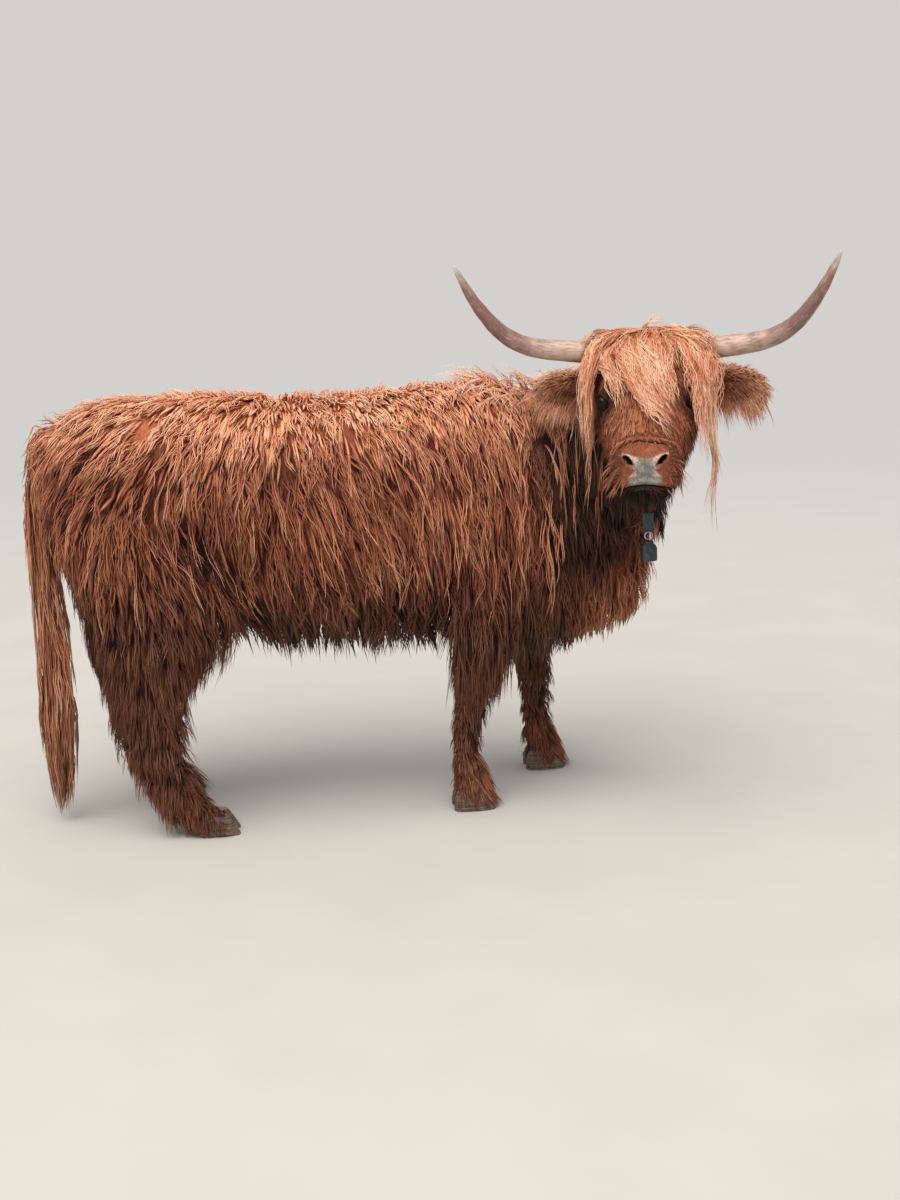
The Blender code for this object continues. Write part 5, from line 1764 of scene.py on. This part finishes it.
# %% Eye, horn and claw finishes
# A wet cornea: clear and very smooth, so the sky shows in it over an iris with fine rays of about 1 mm.
wet, shader, add = new_finish("wet eye", Roughness=0.07, Specular_IOR_Level=0.2)
across, upward = [add("Attribute", out="Fac", attribute_name=key) for key in ("across", "upward")]


def oval_distance(long_half, high_half):
    """Distance from the middle of the eye, as a share of an oval's own half axes."""
    a = add("Math", [across, 1 / long_half], operation="MULTIPLY")
    b = add("Math", [upward, 1 / high_half], operation="MULTIPLY")
    squares = add("Math", [a, a, add("Math", [b, b], operation="MULTIPLY")], operation="MULTIPLY_ADD")
    return add("Math", [squares], operation="SQRT")


rays = add("TexNoise", {"Vector": add("TexCoord", out="Object"), "Scale": 900.0, "Detail": 2.0})
iris = add("ValToRGB", [sway(add, oval_distance(0.78, 0.78), rays, 0.25)], label="iris",
           stops=[(0.3, "#140a05"), (0.7, "#24120a"), (0.92, "#0d0604"), (1.0, "#33231d")])
pupil = add("ValToRGB", [oval_distance(0.52, 0.28)], stops=[(0.85, "#ffffff"), (1.0, "#000000")], label="pupil")
feed(shader, {"Base Color": add("Mix", {0: pupil, 6: iris, 7: "#050303"}, out=2, data_type="RGBA")})
for eye in eyes:
    eye.data.materials.append(wet)

# Horn is layered keratin: smooth and faintly glossy, mottled by 3 cm, with a 5 mm grain and streaks along it.
horn_finish, shader, add = new_finish("cow horn", Roughness=0.36, Specular_IOR_Level=0.45)
place = add("TexCoord", out="Object")
far, under = [add("Attribute", out="Fac", attribute_name=key) for key in ("along", "under")]
grain, fine = [add("TexNoise", {"Vector": place, "Scale": scale, "Detail": detail})
               for scale, detail in ((34.0, 5.0), (210.0, 4.0))]
lengthwise = add("CombineXYZ", [add("Math", [far, 7.0], operation="MULTIPLY"),
                                add("Math", [under, 3.2], operation="MULTIPLY")])
streaks, pale_streaks = [add("TexNoise", {"Vector": lengthwise, "Scale": scale, "Detail": detail})
                         for scale, detail in ((2.0, 5.0), (3.1, 4.0))]
collar = sway(add, add("Math", [under, -0.035, far], operation="MULTIPLY_ADD"), streaks, 0.2)
body = add("ValToRGB", [sway(add, far, grain, 0.22)], label="along the horn", stops=[
    (0.05, "#8f7767"), (0.15, "#bfa090"), (0.36, "#b79a8b"), (0.5, "#93746a"), (0.66, "#7c5c55"),
    (0.84, "#8a655b"), (0.93, "#a58b7c"), (0.985, "#cbb9a8")])
for pattern, low, high, flip, share, over in (  # what is laid over, between which levels, how strongly
        (sway(add, streaks, grain, 0.5), 0.44, 0.64, False, 0.62, "#6a4f47"),
        (sway(add, pale_streaks, fine, 0.4), 0.56, 0.74, False, 0.45, "#d8c4b6"),
        (collar, 0.175, 0.225, True, 0.7, "#54402f")):
    black, white = ("#ffffff", "#000000") if flip else ("#000000", "#ffffff")
    mask = add("ValToRGB", [pattern], stops=[(low, black), (high, white)])
    mask = add("Math", [mask, share], operation="MULTIPLY")
    body = add("Mix", {0: mask, 6: body, 7: over}, out=2, data_type="RGBA")
relief = add("Math", [grain, 2.0, add("Math", [fine, streaks], operation="ADD")], operation="MULTIPLY_ADD")
feed(shader, {"Base Color": body, "Normal": add("Bump", {"Height": relief, "Strength": 0.4, "Distance": 0.001})})
for horn in horns:
    horn.data.materials.append(horn_finish)

# Hoof horn grows in rings of about 2 mm, dry and dull, scuffed by stones at 8 mm.
hoof_finish, shader, add = new_finish("hoof horn", Roughness=0.55)
place = add("TexCoord", out="Object")
ringed = add("Mapping", {"Vector": place, "Scale": (0.3, 0.3, 14.0)})
rings_tall = add("TexNoise", {"Vector": ringed, "Scale": 40.0, "Detail": 3.0})
scuff = add("TexNoise", {"Vector": place, "Scale": 120.0, "Detail": 4.0})
level = sway(add, rings_tall, scuff, 0.5)
HOOF = [(0.3, "#2a211b"), (0.5, "#54463b"), (0.72, "#857463")]
feed(shader, {"Base Color": add("ValToRGB", [level], stops=HOOF),
              "Normal": add("Bump", {"Height": level, "Strength": 0.5, "Distance": 0.0012})})
for claw in claws:
    claw.data.materials.append(hoof_finish)
print("horny finishes on", len(horns) + len(claws), "pieces")

# %% [markdown]
# The strap is woven webbing gone slate-grey with weather, its end and the weight are dark rubber, and
# the ring is plain steel. Weave is two crossed waves at the real pitch, about two millimetres.

# %% Strap, rubber and steel
# Woven webbing: matt, its threads 2 mm apart, weathered in patches of 2 cm.
webbing, shader, add = new_finish("slate webbing", Roughness=0.85)
place = add("TexCoord", out="Object")
warp, weft = [add("TexWave", {"Vector": place, "Scale": 155.0, "Distortion": 0.6}, out="Fac", bands_direction=way)
              for way in "ZX"]
weave = add("Math", [warp, weft], operation="MULTIPLY")
level = sway(add, weave, add("TexNoise", {"Vector": place, "Scale": 45.0, "Detail": 3.0}), 0.7)
WEBBING = [(0.1, "#14191c"), (0.5, "#273036"), (0.9, "#46525a")]
feed(shader, {"Base Color": add("ValToRGB", [level], stops=WEBBING),
              "Normal": add("Bump", {"Height": weave, "Strength": 0.6, "Distance": 0.0008})})

# Moulded rubber: an even dull shine, worn paler in spots of 1 cm, with a 2 mm grain.
rubber, shader, add = new_finish("dark rubber", Roughness=0.5)
place = add("TexCoord", out="Object")
worn, grain = [add("TexNoise", {"Vector": place, "Scale": scale, "Detail": detail})
               for scale, detail in ((90.0, 4.0), (500.0, 3.0))]
RUBBER = [(0.3, "#1a2226"), (0.55, "#2a363c"), (0.8, "#4a5a62")]
feed(shader, {"Base Color": add("ValToRGB", [worn], stops=RUBBER),
              "Roughness": add("Math", [worn, 0.35, 0.36], operation="MULTIPLY_ADD"),
              "Normal": add("Bump", {"Height": grain, "Strength": 0.3, "Distance": 0.0005})})

# Galvanised steel: a bright metal dulled in flecks of 2 to 3 mm.
steel, shader, add = new_finish("galvanised steel", Roughness=0.3, Metallic=1.0)
patina = add("TexNoise", {"Vector": add("TexCoord", out="Object"), "Scale": 400.0, "Detail": 3.0})
feed(shader, {"Base Color": add("ValToRGB", [patina], stops=[(0.3, "#8f9499"), (0.7, "#c9cdd1")]),
              "Roughness": add("Math", [patina, 0.3, 0.2], operation="MULTIPLY_ADD")})
for piece, finish in ((strap, webbing), (strap_end, rubber), (weight, rubber), (ring, steel)):
    piece.data.materials.append(finish)
print("strap finishes on 4 pieces")

# %% [markdown]
# ## Camera, floor and light
# The camera stands somewhat higher than the cow's back, off its right side, so the turned head looks
# almost into it. The light is soft like an overcast sky's: a pale sky all round, a very broad sun
# overhead, and one wide lamp in front that brings light under the brow.

# %% Stage
CAMERA_AT = np.array([-0.1717, -4.7737, 1.52]) + STAND
CAMERA_AZ, CAMERA_DOWN, CAMERA_ROLL = math.radians(-6.0), math.radians(11.5), math.radians(-2.5)
look = np.array([-math.sin(CAMERA_AZ) * math.cos(CAMERA_DOWN), math.cos(CAMERA_AZ) * math.cos(CAMERA_DOWN),
                 -math.sin(CAMERA_DOWN)])
flat_right = unit(np.cross(look, UP))
flat_up = np.cross(flat_right, look)
right = flat_right * math.cos(CAMERA_ROLL) + flat_up * math.sin(CAMERA_ROLL)
up = -flat_right * math.sin(CAMERA_ROLL) + flat_up * math.cos(CAMERA_ROLL)
lens = bpy.data.cameras.new("camera")
lens.sensor_width, lens.lens, lens.clip_end = 36.0, 54.0, 60.0
camera = place_in_scene("camera", lens)
camera.matrix_world = Matrix([[right[k], up[k], -look[k], CAMERA_AT[k]] for k in range(3)] + [[0, 0, 0, 1]])
bpy.context.scene.camera = camera

deselect()
bpy.ops.mesh.primitive_grid_add(x_subdivisions=20, y_subdivisions=20, size=60, location=(0, 0, 0))
floor = bpy.context.object
floor.name = "floor"
SKY_COLOUR, SKY_STRENGTH = "#f0efec", 0.74
floor_finish, shader, add = new_finish("pale floor", Roughness=0.92, Specular_IOR_Level=0.2)
place = add("TexCoord", out="Object")
mottle = add("TexNoise", {"Vector": place, "Scale": 3.0, "Detail": 3.0})
feed(shader, {"Base Color": add("ValToRGB", [mottle], stops=[(0.3, "#b6b4b0"), (0.7, "#bab8b4")])})
away = add("VectorMath", [place], out="Value", operation="LENGTH")
far_off = add("MapRange", {"Value": away, "From Min": 2.2, "From Max": 9.0}, interpolation_type="SMOOTHSTEP")
haze = add("Emission", {"Color": SKY_COLOUR, "Strength": SKY_STRENGTH})
feed(floor_finish.node_tree.nodes["Material Output"],
     {"Surface": add("MixShader", [far_off, shader.outputs["BSDF"], haze])})
floor.data.materials.append(floor_finish)

sky = bpy.data.worlds.new("overcast")
bpy.context.scene.world = sky
sky.use_nodes = True
feed(sky.node_tree.nodes["Background"], {"Color": SKY_COLOUR, "Strength": SKY_STRENGTH})


def soft_light(name, place, target, size, power, colour):
    lamp = bpy.data.lights.new(name, "AREA")
    lamp.size, lamp.energy = size, power
    lamp.color = linear(colour)[:3]
    made = place_in_scene(name, lamp)
    made.location = place
    made.rotation_euler = (Vector(target) - Vector(place)).to_track_quat("-Z", "Y").to_euler()


overhead = bpy.data.lights.new("overhead", "SUN")
overhead.energy, overhead.angle = 3.0, math.radians(55)
overhead.color = linear("#fff9f0")[:3]
place_in_scene("overhead", overhead).rotation_euler = (math.radians(22), math.radians(-10), 0)
soft_light("sky_key", (-1.6, -3.6, 3.6), (0, 0, 0.7), 2.6, 55, "#fff8ee")
bpy.context.scene.view_settings.view_transform = "Standard"
print("camera at", camera.location[:])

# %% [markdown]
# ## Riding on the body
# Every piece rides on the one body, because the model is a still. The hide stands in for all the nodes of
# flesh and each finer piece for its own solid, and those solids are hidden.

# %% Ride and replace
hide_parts(*FLESH)
stands_for = list(zip(eyes + horns, ["eye_L", "eye_R", "horn_L", "horn_R"])) + list(zip(claws, CLAW_NODES))
stands_for += [(strap, "collar_band"), (strap_end, "collar_strap_end"), (ring, "collar_ring"),
               (weight, "collar_weight")]
for piece, node in stands_for:
    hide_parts(node)
slots = [("coat", [hide] + coat), ("pale_coat", long_hair), ("eye", eyes), ("horn", horns), ("hoof_horn", claws),
         ("strap", [strap, strap_end, weight]), ("steel", [ring]), ("coat", lids)]
for slot, pieces in slots:
    for piece in pieces:
        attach(piece, "root")
print("pieces", sum(len(pieces) for _, pieces in slots))
